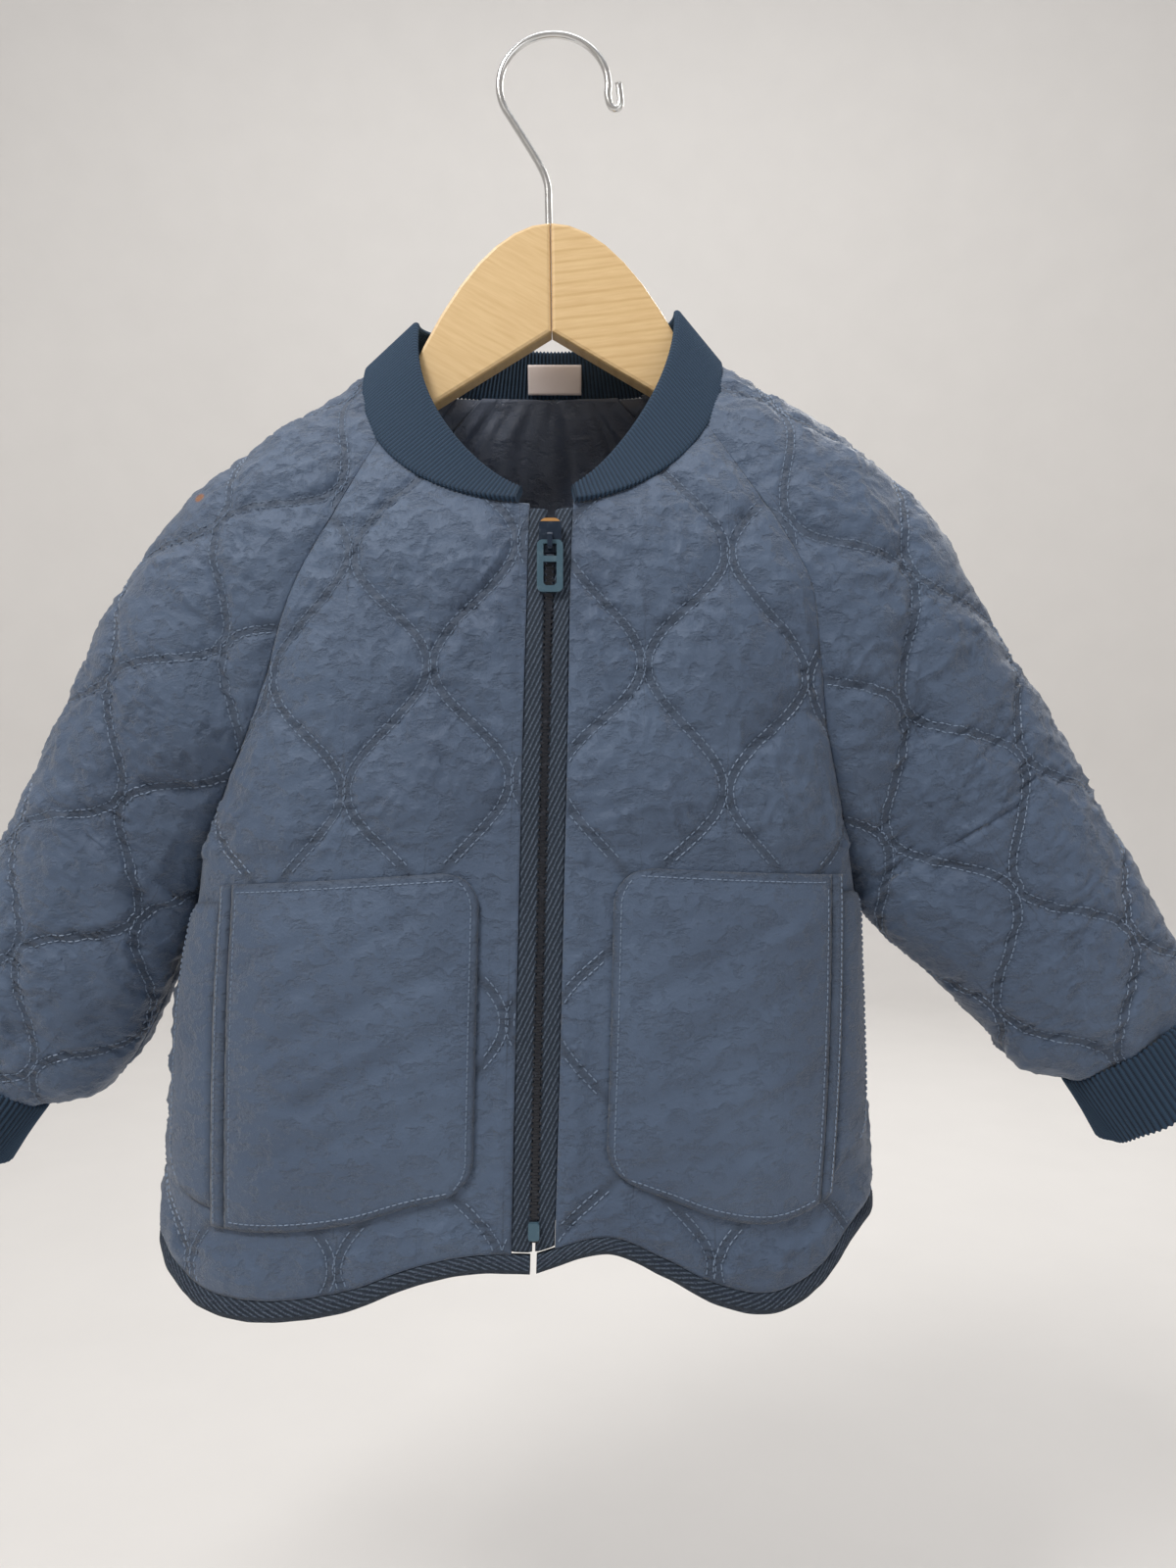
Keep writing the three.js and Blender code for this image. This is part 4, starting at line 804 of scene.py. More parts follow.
for name, side in SIDES.items():
    sleeve = SLEEVES[name]
    surface = sleeve_panel(name)
    axis, inwards, origin = sleeve_frame(name)
    count = int(round(sleeve["end"] / CLOTH_STEP / COARSE)) * COARSE
    levels = np.linspace(0.001, 1, count + 1)
    columns = count_columns(230, CLOTH_STEP, COARSE)
    t, points, far = even_rows(surface, levels, 0.1, 0.1, columns)
    normal = facing(points, side["hand"])
    local = points - origin
    across, along = local @ inwards, local @ axis
    step = np.hypot(np.diff(across, axis=1), np.diff(points[..., 1], axis=1))
    run = np.concatenate([np.zeros((len(levels), 1)), np.cumsum(step, axis=1)], axis=1)
    later = (np.arange(columns) > columns / 2) & (across > sleeve["grid_across"])
    zero_at = np.where(later.any(axis=1), later.argmax(axis=1), columns - 1)
    cloth_across = run - run[np.arange(len(levels)), zero_at][:, None]
    cloth_along = (along - sleeve["grid_along"]) * PERIOD / sleeve["grid_period"] + PERIOD / 2
    flat = seam_flat(far, far[:, -1:], np.minimum(levels, 1 - levels)[:, None] * sleeve["end"])
    height = quilted(points, normal, cloth_across, cloth_along, flat)
    cloth = np.stack([cloth_across, cloth_along, quilt_place(cloth_across, cloth_along)[0]], axis=-1)
    outer = points + normal * height[..., None]
    piece = closed_cloth(f"sleeve_{name}_shell", outer, points - normal * WALL, cloth,
                         COARSE, [shell_cloth, lining_cloth])
    panels["sleeve_" + name] = {"outer": outer, "normal": normal, "across": cloth_across,
                                "along": cloth_along, "covered": np.zeros(t.shape, bool)}
    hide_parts(f"sleeve_{name}")

# Quilting threads: two needle rows along every line, each stitch a short plump dash of thread
# that dips into the cloth at both ends.
STITCH = 3.0
THREAD = 0.6


def thread_material(name, colour):
    """Matt sewing thread with a fine twist."""
    material = bpy.data.materials.new(name)
    nodes, links, shader = node_chain(material)
    shader.inputs["Roughness"].default_value = 0.55
    place = nodes.new("ShaderNodeTexCoord")
    noise = nodes.new("ShaderNodeTexNoise")
    noise.inputs["Scale"].default_value = 900
    ramp = nodes.new("ShaderNodeValToRGB")
    ramp.color_ramp.elements[0].color = (*(np.array(colour) * 0.75), 1)
    ramp.color_ramp.elements[1].color = (*(np.array(colour) * 1.2), 1)
    links.new(place.outputs["Object"], noise.inputs["Vector"])
    links.new(noise.outputs["Fac"], ramp.inputs["Fac"])
    links.new(ramp.outputs["Color"], shader.inputs["Base Color"])
    return material


shell_thread = thread_material("shell_thread", (0.19, 0.25, 0.35))


def even_stitches(path, normal, pitch):
    """Middle, direction and normal of each stitch on a path, one every pitch."""
    step = np.linalg.norm(np.diff(path, axis=0), axis=1)
    run = np.r_[0, np.cumsum(step)]
    at = np.arange(pitch, run[-1] - pitch / 2, pitch)
    read_at = lambda values, s: np.stack([np.interp(s, run, values[:, c]) for c in range(3)], axis=1)
    here, ahead = read_at(path, at - pitch * 0.38), read_at(path, at + pitch * 0.38)
    return (here + ahead) / 2, ahead - here, read_at(normal, at)


def stitch_mesh(name, middles, spans, normals, thick, material):
    """Dashes of thread: a square section at the middle of each, drawn to a point at both ends
    below the cloth."""
    up = normals / np.linalg.norm(normals, axis=1, keepdims=True)
    aside = np.cross(spans, up)
    aside = aside / np.maximum(np.linalg.norm(aside, axis=1, keepdims=True), 1e-9) * thick / 2
    lift = up * thick / 2
    corners = []
    for end in (-0.36, 0.36):
        for a, b in ((1, 0), (0, 1.3), (-1, 0), (0, -0.9)):
            corners.append(middles + spans * end + aside * a + lift * b)
    tips = [middles + spans * end - lift * 1.4 for end in (-0.56, 0.56)]
    points = np.stack(corners + tips, axis=1)
    ring = [(0, 1, 5, 4), (1, 2, 6, 5), (2, 3, 7, 6), (3, 0, 4, 7)]
    caps = [(1, 0, 8), (2, 1, 8), (3, 2, 8), (0, 3, 8), (4, 5, 9), (5, 6, 9), (6, 7, 9), (7, 4, 9)]
    base = np.arange(len(middles))[:, None, None] * 10
    faces = (base + np.array(ring)).reshape(-1, 4).tolist()
    faces += (base + np.array(caps)).reshape(-1, 3).tolist()
    mesh = bpy.data.meshes.new(name)
    mesh.from_pydata(points.reshape(-1, 3) * 0.001, [], faces)
    mesh.materials.append(material)
    mesh.update()
    piece = bpy.data.objects.new(name, mesh)
    bpy.context.collection.objects.link(piece)
    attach(piece, "garment")
    return piece


def quilt_rows(panel):
    """The needle rows on a panel: for each line and needle, the points where rows of the grid
    cross it, as runs without gaps."""
    across, along = panel["across"], panel["along"]
    rising = across[0, -1] > across[0, 0]
    flip = slice(None) if rising else slice(None, None, -1)
    across, along = across[:, flip], along[:, flip]
    outer, normal = panel["outer"][:, flip], panel["normal"][:, flip]
    covered = panel["covered"][:, flip]
    rows = np.arange(len(across))
    low, high = (int(v // (PITCH / 2)) for v in (across.min(), across.max()))
    for k in range(low - 2, high + 3):
        for needle in (-NEEDLES, NEEDLES):
            ahead = across - line_across(k, along) - needle * line_slant(along)
            j = (ahead < 0).sum(axis=1)
            inside = (j > 0) & (j < across.shape[1])
            j = np.clip(j, 1, across.shape[1] - 1)
            a, b = ahead[rows, j - 1], ahead[rows, j]
            share = np.clip(-a / np.where(b - a == 0, 1, b - a), 0, 1)[:, None]
            path = mix(outer[rows, j - 1], outer[rows, j], share)
            lean = mix(normal[rows, j - 1], normal[rows, j], share)
            inside &= ~covered[rows, j]
            for piece in np.split(rows, np.flatnonzero(np.diff(inside.astype(int))) + 1):
                if inside[piece[0]] and len(piece) > 6:
                    yield path[piece], lean[piece]


for name, panel in panels.items():
    parts = [even_stitches(path, lean, STITCH) for path, lean in quilt_rows(panel)]
    middles, spans, normals = (np.concatenate(p) for p in zip(*parts))
    piece = stitch_mesh(f"quilting_{name}", middles + normals * 0.22, spans, normals, THREAD,
                        shell_thread)

# Twill: the hem's binding, folded over the edge all round, and the two zip tapes. Dark navy
# cotton with steep diagonal ribs and pale worn flecks.
def twill_material(name, slant):
    """Diagonal ribs on the cloth map, 1.7 mm apart; pale flecks where the rib is worn."""
    material = bpy.data.materials.new(name)
    nodes, links, shader = node_chain(material)
    shader.inputs["Roughness"].default_value = 0.8
    chart = nodes.new("ShaderNodeUVMap")
    chart.uv_map = "cloth"
    turn = nodes.new("ShaderNodeMapping")
    turn.inputs["Rotation"].default_value = (0, 0, slant)
    links.new(chart.outputs["UV"], turn.inputs["Vector"])
    ribs = nodes.new("ShaderNodeTexWave")
    ribs.inputs["Scale"].default_value = 185
    ribs.inputs["Distortion"].default_value = 1.2
    ribs.inputs["Detail"].default_value = 2
    ribs.inputs["Detail Scale"].default_value = 3
    links.new(turn.outputs["Vector"], ribs.inputs["Vector"])
    yarn = nodes.new("ShaderNodeTexNoise")
    yarn.inputs["Scale"].default_value = 1500
    yarn.inputs["Detail"].default_value = 3
    links.new(turn.outputs["Vector"], yarn.inputs["Vector"])
    both = nodes.new("ShaderNodeMath")
    both.operation = "MULTIPLY"
    links.new(ribs.outputs["Fac"], both.inputs[0])
    links.new(yarn.outputs["Fac"], both.inputs[1])
    ramp = nodes.new("ShaderNodeValToRGB")
    ramp.color_ramp.elements[0].position = 0.12
    ramp.color_ramp.elements[0].color = (0.008, 0.016, 0.030, 1)
    ramp.color_ramp.elements[1].position = 0.6
    ramp.color_ramp.elements[1].color = (0.10, 0.13, 0.18, 1)
    middle = ramp.color_ramp.elements.new(0.36)
    middle.color = (0.026, 0.042, 0.068, 1)
    links.new(both.outputs["Value"], ramp.inputs["Fac"])
    links.new(ramp.outputs["Color"], shader.inputs["Base Color"])
    bump = nodes.new("ShaderNodeBump")
    bump.inputs["Strength"].default_value = 0.7
    bump.inputs["Distance"].default_value = 0.0005
    links.new(both.outputs["Value"], bump.inputs["Height"])
    links.new(bump.outputs["Normal"], shader.inputs["Normal"])
    return material


tape_twill = twill_material("tape_twill", 0.42)
binding_twill = twill_material("binding_twill", 1.15)


def wrapped_quads(rows, columns, close_columns):
    """Quads of a grid whose rows close on themselves, and whose columns may too."""
    r = np.arange(rows)[:, None]
    c = np.arange(columns if close_columns else columns - 1)[None, :]
    at = lambda i, j: (i % rows) * columns + j % columns
    return np.stack([at(r, c), at(r, c + 1), at(r + 1, c + 1), at(r + 1, c)], axis=-1).reshape(-1, 4)


def folded_band(name, points, cloth, material, close_columns=False):
    """A band that is closed round its section: rows go round the section, columns along it.
    Its two ends are capped unless the band closes on itself."""
    rows, columns = points.shape[:2]
    faces = wrapped_quads(rows, columns, close_columns)
    flat = points.reshape(-1, 3)
    a, b, c, d = (flat[faces[:, k]] for k in range(4))
    inside_out = (a * np.cross(b, c)).sum() + (a * np.cross(c, d)).sum() < 0
    caps = [] if close_columns else [np.arange(rows)[::-1] * columns,
                                     np.arange(rows) * columns + columns - 1]
    if inside_out:
        faces, caps = faces[:, ::-1], [cap[::-1] for cap in caps]
    mesh = bpy.data.meshes.new(name)
    mesh.from_pydata(flat * 0.001, [], faces.tolist() + [cap.tolist() for cap in caps])
    return dress(name, mesh, cloth.reshape(-1, cloth.shape[-1]), None, [material])


def pill(tall, low, high, sides, ends):
    """A flat loop with round ends: (up, out) going up the outer face, over, and down inside."""
    radius = (high - low) / 2
    turn = np.linspace(0, np.pi, ends + 2)[1:-1]
    up = np.r_[np.linspace(radius, tall - radius, sides), tall - radius + radius * np.sin(turn),
               np.linspace(tall - radius, radius, sides), radius - radius * np.sin(turn)]
    out = np.r_[np.full(sides, high), low + radius + radius * np.cos(turn),
                np.full(sides, low), low + radius - radius * np.cos(turn)]
    return up, out


def hem_band(name, surface, first, last, columns, hand):
    """The binding's section goes round the panel's edge; a row of stitches dents its upper edge."""
    up, out = pill(HEM_BAND + 1.4, -WALL - 0.9, 1.3, 12, 5)
    levels = up / BODY_TALL - 0.2 / BODY_TALL
    base = []
    for level in levels:
        pair = np.array([level, level + 0.004])
        points, far = even_rows(surface, pair, first, last, columns)[1:]
        base.append((points[0], facing(points, hand)[0], far[0]))
    points, normal, far = (np.stack(part) for part in zip(*base))
    wave = 0.25 * np.sin(far / 3.1) * np.sin(far / 7.7 + 1)
    face = np.where(out > 0, 1, -1)[:, None]
    dent = 0.55 * np.exp(-((up[:, None] - HEM_BAND + 0.6) / 0.8) ** 2)
    height = out[:, None] + face * (wave - dent)
    band = points + normal * height[..., None]
    round_it = np.r_[0, np.cumsum(np.hypot(np.diff(up), np.diff(out)))][:, None] + 0 * far
    piece = folded_band(name, band, np.stack([far, round_it], axis=-1), binding_twill)
    stitched = np.argmin(np.abs(up[:12] - HEM_BAND + 0.6))
    middles, spans, normals = even_stitches(band[stitched], normal[stitched], 2.9)
    sewing = stitch_mesh(name + "_stitches", middles + normals * 0.1, spans, normals, 0.45,
                         navy_thread)
    return piece


navy_thread = thread_material("navy_thread", (0.02, 0.03, 0.06))
for name, side in SIDES.items():
    piece = hem_band(f"hem_front_{name}_binding", panels[name]["surface"], 1.2, 0.05, 200,
                     side["hand"])
    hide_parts(f"hem_front_{name}")
piece = hem_band("hem_back_binding", back_panel, 0.05, 0.05, 300, -1)
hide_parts("hem_back")

# Zip tapes: one on each front's edge, sewn under the shell. The inner edges part a little below
# the neck and roll in; both edges turn down into the cloth beside them.
for name, side in SIDES.items():
    levels = np.linspace(0.03, 0.997, 240)
    inner_edge = 0.45 + 1.15 * ease((levels - 0.72) / 0.2)
    t, points, far = even_rows(panels[name]["surface"], levels, inner_edge, 0, 360)
    wide = np.linspace(0, 1, 13)
    first = inner_edge[:, None]
    t = np.array([np.interp(a + (TAPE_WIDE + 0.3 - a) * wide, f, row)
                  for a, f, row in zip(inner_edge, far, t)])
    points = panels[name]["surface"](levels[:, None], t)
    normal = facing(points, side["hand"])
    roll = -0.9 * (1 - ease(wide / 0.16)) - 0.5 * ease((wide - 0.8) / 0.2)
    wave = 0.22 * np.sin(levels * 41 + side["hand"])[:, None] * np.sin(np.pi * wide)
    cloth = np.stack([side["hand"] * (first + (TAPE_WIDE - first) * wide), points[..., 2]], axis=-1)
    outer = points + normal * (0.25 + roll + wave)[..., None]
    inner = points - normal * 2.0
    piece = closed_cloth(f"zip_tape_{name}_twill", outer[:-2], inner[:-2], cloth[:-2], 1, [tape_twill])
    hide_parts(f"zip_tape_{name}")

# The zip: moulded teeth on both tapes, near-black and shiny, meshed down the middle; a painted
# slider, pull tab and box, whose solids are shown as they are.
def enamel(name, colour, roughness, metallic, worn, top_z=None):
    """Paint on metal with a little wear; above top_z the bare brass shows."""
    material = bpy.data.materials.new(name)
    nodes, links, shader = node_chain(material)
    shader.inputs["Metallic"].default_value = metallic
    place = nodes.new("ShaderNodeTexCoord")
    noise = nodes.new("ShaderNodeTexNoise")
    noise.inputs["Scale"].default_value = 420
    noise.inputs["Detail"].default_value = 5
    links.new(place.outputs["Object"], noise.inputs["Vector"])
    ramp = nodes.new("ShaderNodeValToRGB")
    ramp.color_ramp.elements[0].position = 0.55
    ramp.color_ramp.elements[0].color = (*colour, 1)
    ramp.color_ramp.elements[1].position = 0.78
    ramp.color_ramp.elements[1].color = (*worn, 1)
    links.new(noise.outputs["Fac"], ramp.inputs["Fac"])
    colour_out = ramp.outputs["Color"]
    if top_z is not None:
        split = nodes.new("ShaderNodeSeparateXYZ")
        above = nodes.new("ShaderNodeMath")
        above.operation = "GREATER_THAN"
        above.inputs[1].default_value = top_z
        blend = nodes.new("ShaderNodeMix")
        blend.data_type = "RGBA"
        blend.inputs[7].default_value = (0.52, 0.27, 0.09, 1)
        links.new(place.outputs["Object"], split.inputs["Vector"])
        links.new(split.outputs["Z"], above.inputs[0])
        links.new(above.outputs["Value"], blend.inputs[0])
        links.new(colour_out, blend.inputs[6])
        colour_out = blend.outputs[2]
    links.new(colour_out, shader.inputs["Base Color"])
    rough = nodes.new("ShaderNodeMapRange")
    rough.inputs["To Min"].default_value = roughness - 0.08
    rough.inputs["To Max"].default_value = roughness + 0.12
    links.new(noise.outputs["Fac"], rough.inputs["Value"])
    links.new(rough.outputs["Result"], shader.inputs["Roughness"])
    return material


TOOTH_PITCH = 2.4
tooth_z = np.arange(-522, -246, TOOTH_PITCH)
profile = np.array([(-0.62, -0.75), (0.62, -0.75), (0.5, 0.3), (0.2, 0.75), (-0.2, 0.75),
                    (-0.5, 0.3)])
tooth_points, tooth_faces = [], []
for name, side in SIDES.items():
    z = tooth_z + (0.5 * TOOTH_PITCH if name == "left" else 0)
    level = (z - HEM_Z) / BODY_TALL
    seat = zip_line(level) + np.array([side["hand"] * 0.35, 0.15, 0])
    ends = np.stack([np.c_[0 * profile[:, :1] + reach * side["hand"], profile[:, 1:], profile[:, :1]]
                     for reach in (-1.45, 1.6)])
    ends[0, :, 1:] *= 0.8
    points = seat[:, None, None, :] + ends[None, ...]
    base = (np.arange(len(z)) * 12 + len(tooth_points) * 12)[:, None, None]
    k = np.arange(6)
    ring = np.stack([k, (k + 1) % 6, (k + 1) % 6 + 6, k + 6], axis=1)
    caps = [list(range(6))[::-1], list(range(6, 12))]
    if side["hand"] < 0:
        ring, caps = ring[:, ::-1], [cap[::-1] for cap in caps]
    tooth_faces += (base + ring).reshape(-1, 4).tolist()
    tooth_faces += (base + np.array(caps)).reshape(-1, 6).tolist()
    tooth_points += points.reshape(-1, 12, 3).tolist()
mesh = bpy.data.meshes.new("zip_teeth")
mesh.from_pydata(np.array(tooth_points).reshape(-1, 3) * 0.001, [], tooth_faces)
mesh.materials.append(enamel("zip_moulding", (0.008, 0.010, 0.016), 0.3, 0.0, (0.03, 0.035, 0.05)))
zip_teeth = bpy.data.objects.new("zip_teeth", mesh)
bpy.context.collection.objects.link(zip_teeth)
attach(zip_teeth, "garment")

BRASS_ABOVE = -0.2318
for node, material in (
        ("zip_slider", enamel("slider_paint", (0.010, 0.022, 0.045), 0.35, 0.3, (0.05, 0.07, 0.1),
                              BRASS_ABOVE)),
        ("zip_pull", enamel("pull_paint", (0.060, 0.120, 0.165), 0.4, 0.25, (0.11, 0.17, 0.21))),
        ("zip_box", enamel("box_paint", (0.060, 0.120, 0.165), 0.45, 0.1, (0.11, 0.17, 0.21)))):
    shown = bpy.data.objects[node]
    shown.data.materials.clear()
    shown.data.materials.append(material)

# Patch pockets of the same shell cloth, unquilted: a main patch whose side edge is folded and
# stitched twice, and a plain strip behind it that the hand slides over.
POCKET_FOLDS = {
    "left": [(38, -412, 110, -446, 1.5, 5), (52, -392, 104, -424, 1.3, 5),
             (34, -436, 96, -470, 1.3, 6), (60, -440, 100, -462, -1.2, 4),
             (46, -470, 116, -492, 1.2, 6), (90, -400, 128, -416, 1.0, 4),
             (30, -455, 60, -462, 0.9, 3.5), (84, -476, 120, -470, -0.9, 4),
             (66, -404, 92, -416, -1.0, 4)],
    "right": [(40, -424, 96, -396, 1.4, 5), (52, -448, 112, -418, 1.4, 6),
              (36, -470, 90, -446, 1.2, 6), (70, -470, 118, -450, -1.1, 5),
              (44, -492, 104, -484, 1.1, 6), (34, -400, 60, -392, 0.9, 4),
              (88, -404, 120, -392, -1.0, 4), (60, -430, 84, -418, -0.9, 4)],
}


def dents(rows, far, z):
    """Shallow folds along straight lines: rows of both ends, depth (negative stands out), width."""
    sunk = np.zeros_like(far)
    for x0, z0, x1, z1, deep, wide in rows:
        span = (x1 - x0) ** 2 + (z1 - z0) ** 2
        part = np.clip(((far - x0) * (x1 - x0) + (z - z0) * (z1 - z0)) / span, 0, 1)
        away = (far - x0 - (x1 - x0) * part) ** 2 + (z - z0 - (z1 - z0) * part) ** 2
        sunk += deep * (np.exp(-away / wide ** 2) - 0.45 * np.exp(-away / (2.4 * wide) ** 2))
    return sunk


def corner_cut(level, low, high, radius):
    """How much a round corner takes off a row near the top or bottom edge."""
    past = np.minimum(level - low, high - level) * BODY_TALL
    near = np.clip((radius - past) / radius, 0, 1)
    return radius * (1 - np.sqrt(1 - near ** 2))


def pocket_sheet(name, label, low, high, first, last, lift, crown, rows, edge_at, step=1.45):
    """One piece of a pocket: it stands lift off the panel at its edges and crown more in its
    middle, with a dent along its topstitching."""
    side, panel = SIDES[name], panels[name]
    levels = np.linspace(low, high, int((high - low) * BODY_TALL / step))
    total = even_rows(panel["surface"], levels, 0, 0, 3)[2][:, -1]
    start, end = first(levels), last(levels)
    columns = int((end - start).max() / step)
    points, far = even_rows(panel["surface"], levels, start, total - end, columns)[1:]
    normal = facing(points, side["hand"])
    level = levels[:, None]
    ends = np.minimum(level - low, high - level) * BODY_TALL
    sides = np.minimum(far - far[:, :1], far[:, -1:] - far)
    near = np.minimum(ends, sides)
    rise = ease(near / 26) ** 0.7
    stitch = np.exp(-((near - edge_at) / 0.9) ** 2)
    ripple = 0.28 * np.sin(far * 1.15 + 2 * np.sin(level * 90)) * np.sin(points[..., 2] * 0.83)
    pucker = ripple * np.exp(-np.abs(near - edge_at) / 5)
    roll = -0.7 * np.exp(-near / 0.7)
    sunk = dents(rows, far, points[..., 2]) * ease(near / 10)
    height = lift + crown * rise - 0.5 * stitch + pucker + roll - sunk
    outer = points + normal * height[..., None]
    cloth = np.stack([far, points[..., 2], near], axis=-1)
    floor = points + normal * 0.8
    piece = closed_cloth(f"pocket_{name}_{label}", outer, floor, cloth, 1, [shell_cloth])
    return piece, outer, normal


WELT_WIDE = 6.6
CORNER = 15
INSET = 2
for name, side in SIDES.items():
    pocket, mouth = side["pocket"], side["pocket"]["mouth"]
    low, high = pocket["bottom"], pocket["top"]
    patch, outer, normal = pocket_sheet(
        name, "patch", low, high,
        lambda level: pocket["inner"] + corner_cut(level, low, high, CORNER),
        lambda level: mouth - WELT_WIDE - 0.1 + 0 * level,
        lift=2.6, crown=2.6, rows=POCKET_FOLDS[name], edge_at=2.2)
    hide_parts(f"pocket_{name}")
    fold, outer_fold, normal_fold = pocket_sheet(
        name, "fold", low, high, lambda level: mouth - WELT_WIDE + 0 * level,
        lambda level: mouth + 0 * level, lift=3.0, crown=1.6, rows=[], edge_at=20)
    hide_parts(f"pocket_{name}_welt")
    behind, outer_side, normal_side = pocket_sheet(
        name, "behind", low + 0.02, high - 0.02, lambda level: mouth + 0.1 + 0 * level,
        lambda level: pocket["outer"] - corner_cut(level, low + 0.02, high - 0.02, CORNER),
        lift=2.3, crown=0.5, rows=[], edge_at=2)
    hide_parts(f"pocket_{name}_side")
    sewn = [(outer[INSET, INSET:-1], normal[INSET, INSET:-1]),
            (outer[-1 - INSET, INSET:-1], normal[-1 - INSET, INSET:-1]),
            (outer[INSET:-INSET, INSET], normal[INSET:-INSET, INSET]),
            (outer[INSET:-INSET, -3], normal[INSET:-INSET, -3]),
            (outer_fold[:, -2], normal_fold[:, -2]),
            (outer_side[INSET:-INSET, -3], normal_side[INSET:-INSET, -3])]
    parts = [even_stitches(path, lean, 2.6) for path, lean in sewn]
    middles, spans, normals = (np.concatenate(p) for p in zip(*parts))
    sewing = stitch_mesh(f"pocket_{name}_stitches", middles + normals * 0.2, spans, normals, 0.55,
                         shell_thread)


# Collar and cuffs: navy rib knit, folded double. The collar stands on the neck seam and tapers
# to nothing at the zip; the cuffs gather the sleeves' ends.
def knit_material(name, dark, light):
    """Small loops along every rib: a wave and a fine noise on the cloth map, with a painted highlight
    on the rib crests.
    """
    material = bpy.data.materials.new(name)
    nodes, links, shader = node_chain(material)
    shader.inputs["Roughness"].default_value = 0.85
    shader.inputs["Sheen Weight"].default_value = 0.12
    shader.inputs["Sheen Roughness"].default_value = 0.5
    shader.inputs["Sheen Tint"].default_value = (0.35, 0.5, 0.7, 1)
    chart = nodes.new("ShaderNodeUVMap")
    chart.uv_map = "cloth"
    loops = nodes.new("ShaderNodeTexWave")
    loops.bands_direction = "Y"
    loops.inputs["Scale"].default_value = 390
    loops.inputs["Distortion"].default_value = 2.5
    loops.inputs["Detail"].default_value = 2
    links.new(chart.outputs["UV"], loops.inputs["Vector"])
    fuzz = nodes.new("ShaderNodeTexNoise")
    fuzz.inputs["Scale"].default_value = 1700
    fuzz.inputs["Detail"].default_value = 3
    links.new(chart.outputs["UV"], fuzz.inputs["Vector"])
    # Painted light: the attribute seam holds each rib's crest (1) and hollow (0) and is added to the
    # tone, so the crests are painted paler and the hollows darker, as if lit.
    ridge = nodes.new("ShaderNodeAttribute")
    ridge.attribute_name = "seam"
    both = nodes.new("ShaderNodeMath")
    both.operation = "MULTIPLY_ADD"
    both.inputs[1].default_value = 0.5
    links.new(fuzz.outputs["Fac"], both.inputs[0])
    links.new(loops.outputs["Fac"], both.inputs[2])
    tone = nodes.new("ShaderNodeMath")
    tone.operation = "MULTIPLY_ADD"
    tone.inputs[1].default_value = 0.35
    links.new(both.outputs["Value"], tone.inputs[0])
    links.new(ridge.outputs["Fac"], tone.inputs[2])
    ramp = nodes.new("ShaderNodeValToRGB")
    ramp.color_ramp.elements[0].position = 0.15
    ramp.color_ramp.elements[0].color = (*dark, 1)
    ramp.color_ramp.elements[1].position = 1.0
    ramp.color_ramp.elements[1].color = (*light, 1)
    links.new(tone.outputs["Value"], ramp.inputs["Fac"])
    links.new(ramp.outputs["Color"], shader.inputs["Base Color"])
    bump = nodes.new("ShaderNodeBump")
    bump.inputs["Strength"].default_value = 0.5
    bump.inputs["Distance"].default_value = 0.0003
    links.new(both.outputs["Value"], bump.inputs["Height"])
    links.new(bump.outputs["Normal"], shader.inputs["Normal"])
    return material


rib_knit = knit_material("rib_knit", (0.003, 0.009, 0.022), (0.018, 0.046, 0.088))


def ribbed(up_out, frame_at, count, ribs, height, close):
    """Grid of a ribbed band: its section carried along its foot, with ribs across the band.
    frame_at gives foot, upward and outward directions and how tall the band is, by column."""
    foot, upward, outward, tall = frame_at
    up, out = up_out
    share = up / up.max()
    lengths = np.linspace(0, 1, count, endpoint=not close)
    ridge = np.cos(2 * np.pi * ribs * lengths)
    slope = np.gradient(out), np.gradient(up)
    length = np.hypot(*slope)
    side_up, side_out = -slope[0] / length, slope[1] / length
    lift = height * ridge[None, :] * (0.35 + 0.65 * np.minimum(1, tall / 6))[None, :]
    rise = share[:, None] * tall[None, :] + side_up[:, None] * lift
    depth = out[:, None] + side_out[:, None] * lift
    points = foot[None] + upward[None] * rise[..., None] + outward[None] * depth[..., None]
    return points, ridge * 0.5 + 0.5


def neck_seam(share):
    """Turn, half and foot on the neck seam: share is 0 and 1 at the zip, 0.5 behind the neck."""
    turns = np.radians(mix(-90, 90, np.abs(2 * share - 1)))
    left_half = share < 0.5
    foot = np.where(left_half[:, None], neck_point(SIDES["left"], turns),
                    neck_point(SIDES["right"], turns))
    return turns, left_half, foot


RIB = {"pitch": 1.9, "height": 0.42, "thick": 2.6, "tall": 29, "back": 21, "back_lean": 14,
       "sunk": 1.6, "added": 2.6}
probe = np.linspace(0.02, 0.98, 600)
foot = neck_seam(probe)[2]
run = np.r_[0, np.cumsum(np.linalg.norm(np.diff(foot, axis=0), axis=1))]
ribs = int(run[-1] / RIB["pitch"])
count = ribs * 5
even = np.interp(np.linspace(0, run[-1], count), run, probe)
turns, left_half, foot = neck_seam(even)
out_way = np.stack([foot[:, 0] - NECK_BACK[0], foot[:, 1] + 5, 0 * turns], axis=-1)
out_way /= np.linalg.norm(out_way, axis=1, keepdims=True)
to_back = ease(-turns / (np.pi / 2))
front_lean = np.where(left_half, SIDES["left"]["collar_lean"], SIDES["right"]["collar_lean"])
lean = np.radians(mix(front_lean, RIB["back_lean"], to_back))
tall = np.where(turns > 0, RIB["tall"] * (1 - np.clip(turns / (np.pi / 2), 0, 1) ** 3),
                mix(RIB["tall"], RIB["back"], to_back))
up_way = np.stack([0 * turns, 0 * turns, np.ones_like(turns)], axis=-1)
upward = up_way * np.cos(lean)[:, None] - out_way * np.sin(lean)[:, None]
outward = out_way * np.cos(lean)[:, None] + up_way * np.sin(lean)[:, None]
up, out = pill(RIB["tall"], 0, RIB["thick"], 13, 7)
frame_at = (foot - upward * RIB["sunk"], upward, outward, tall + RIB["added"])
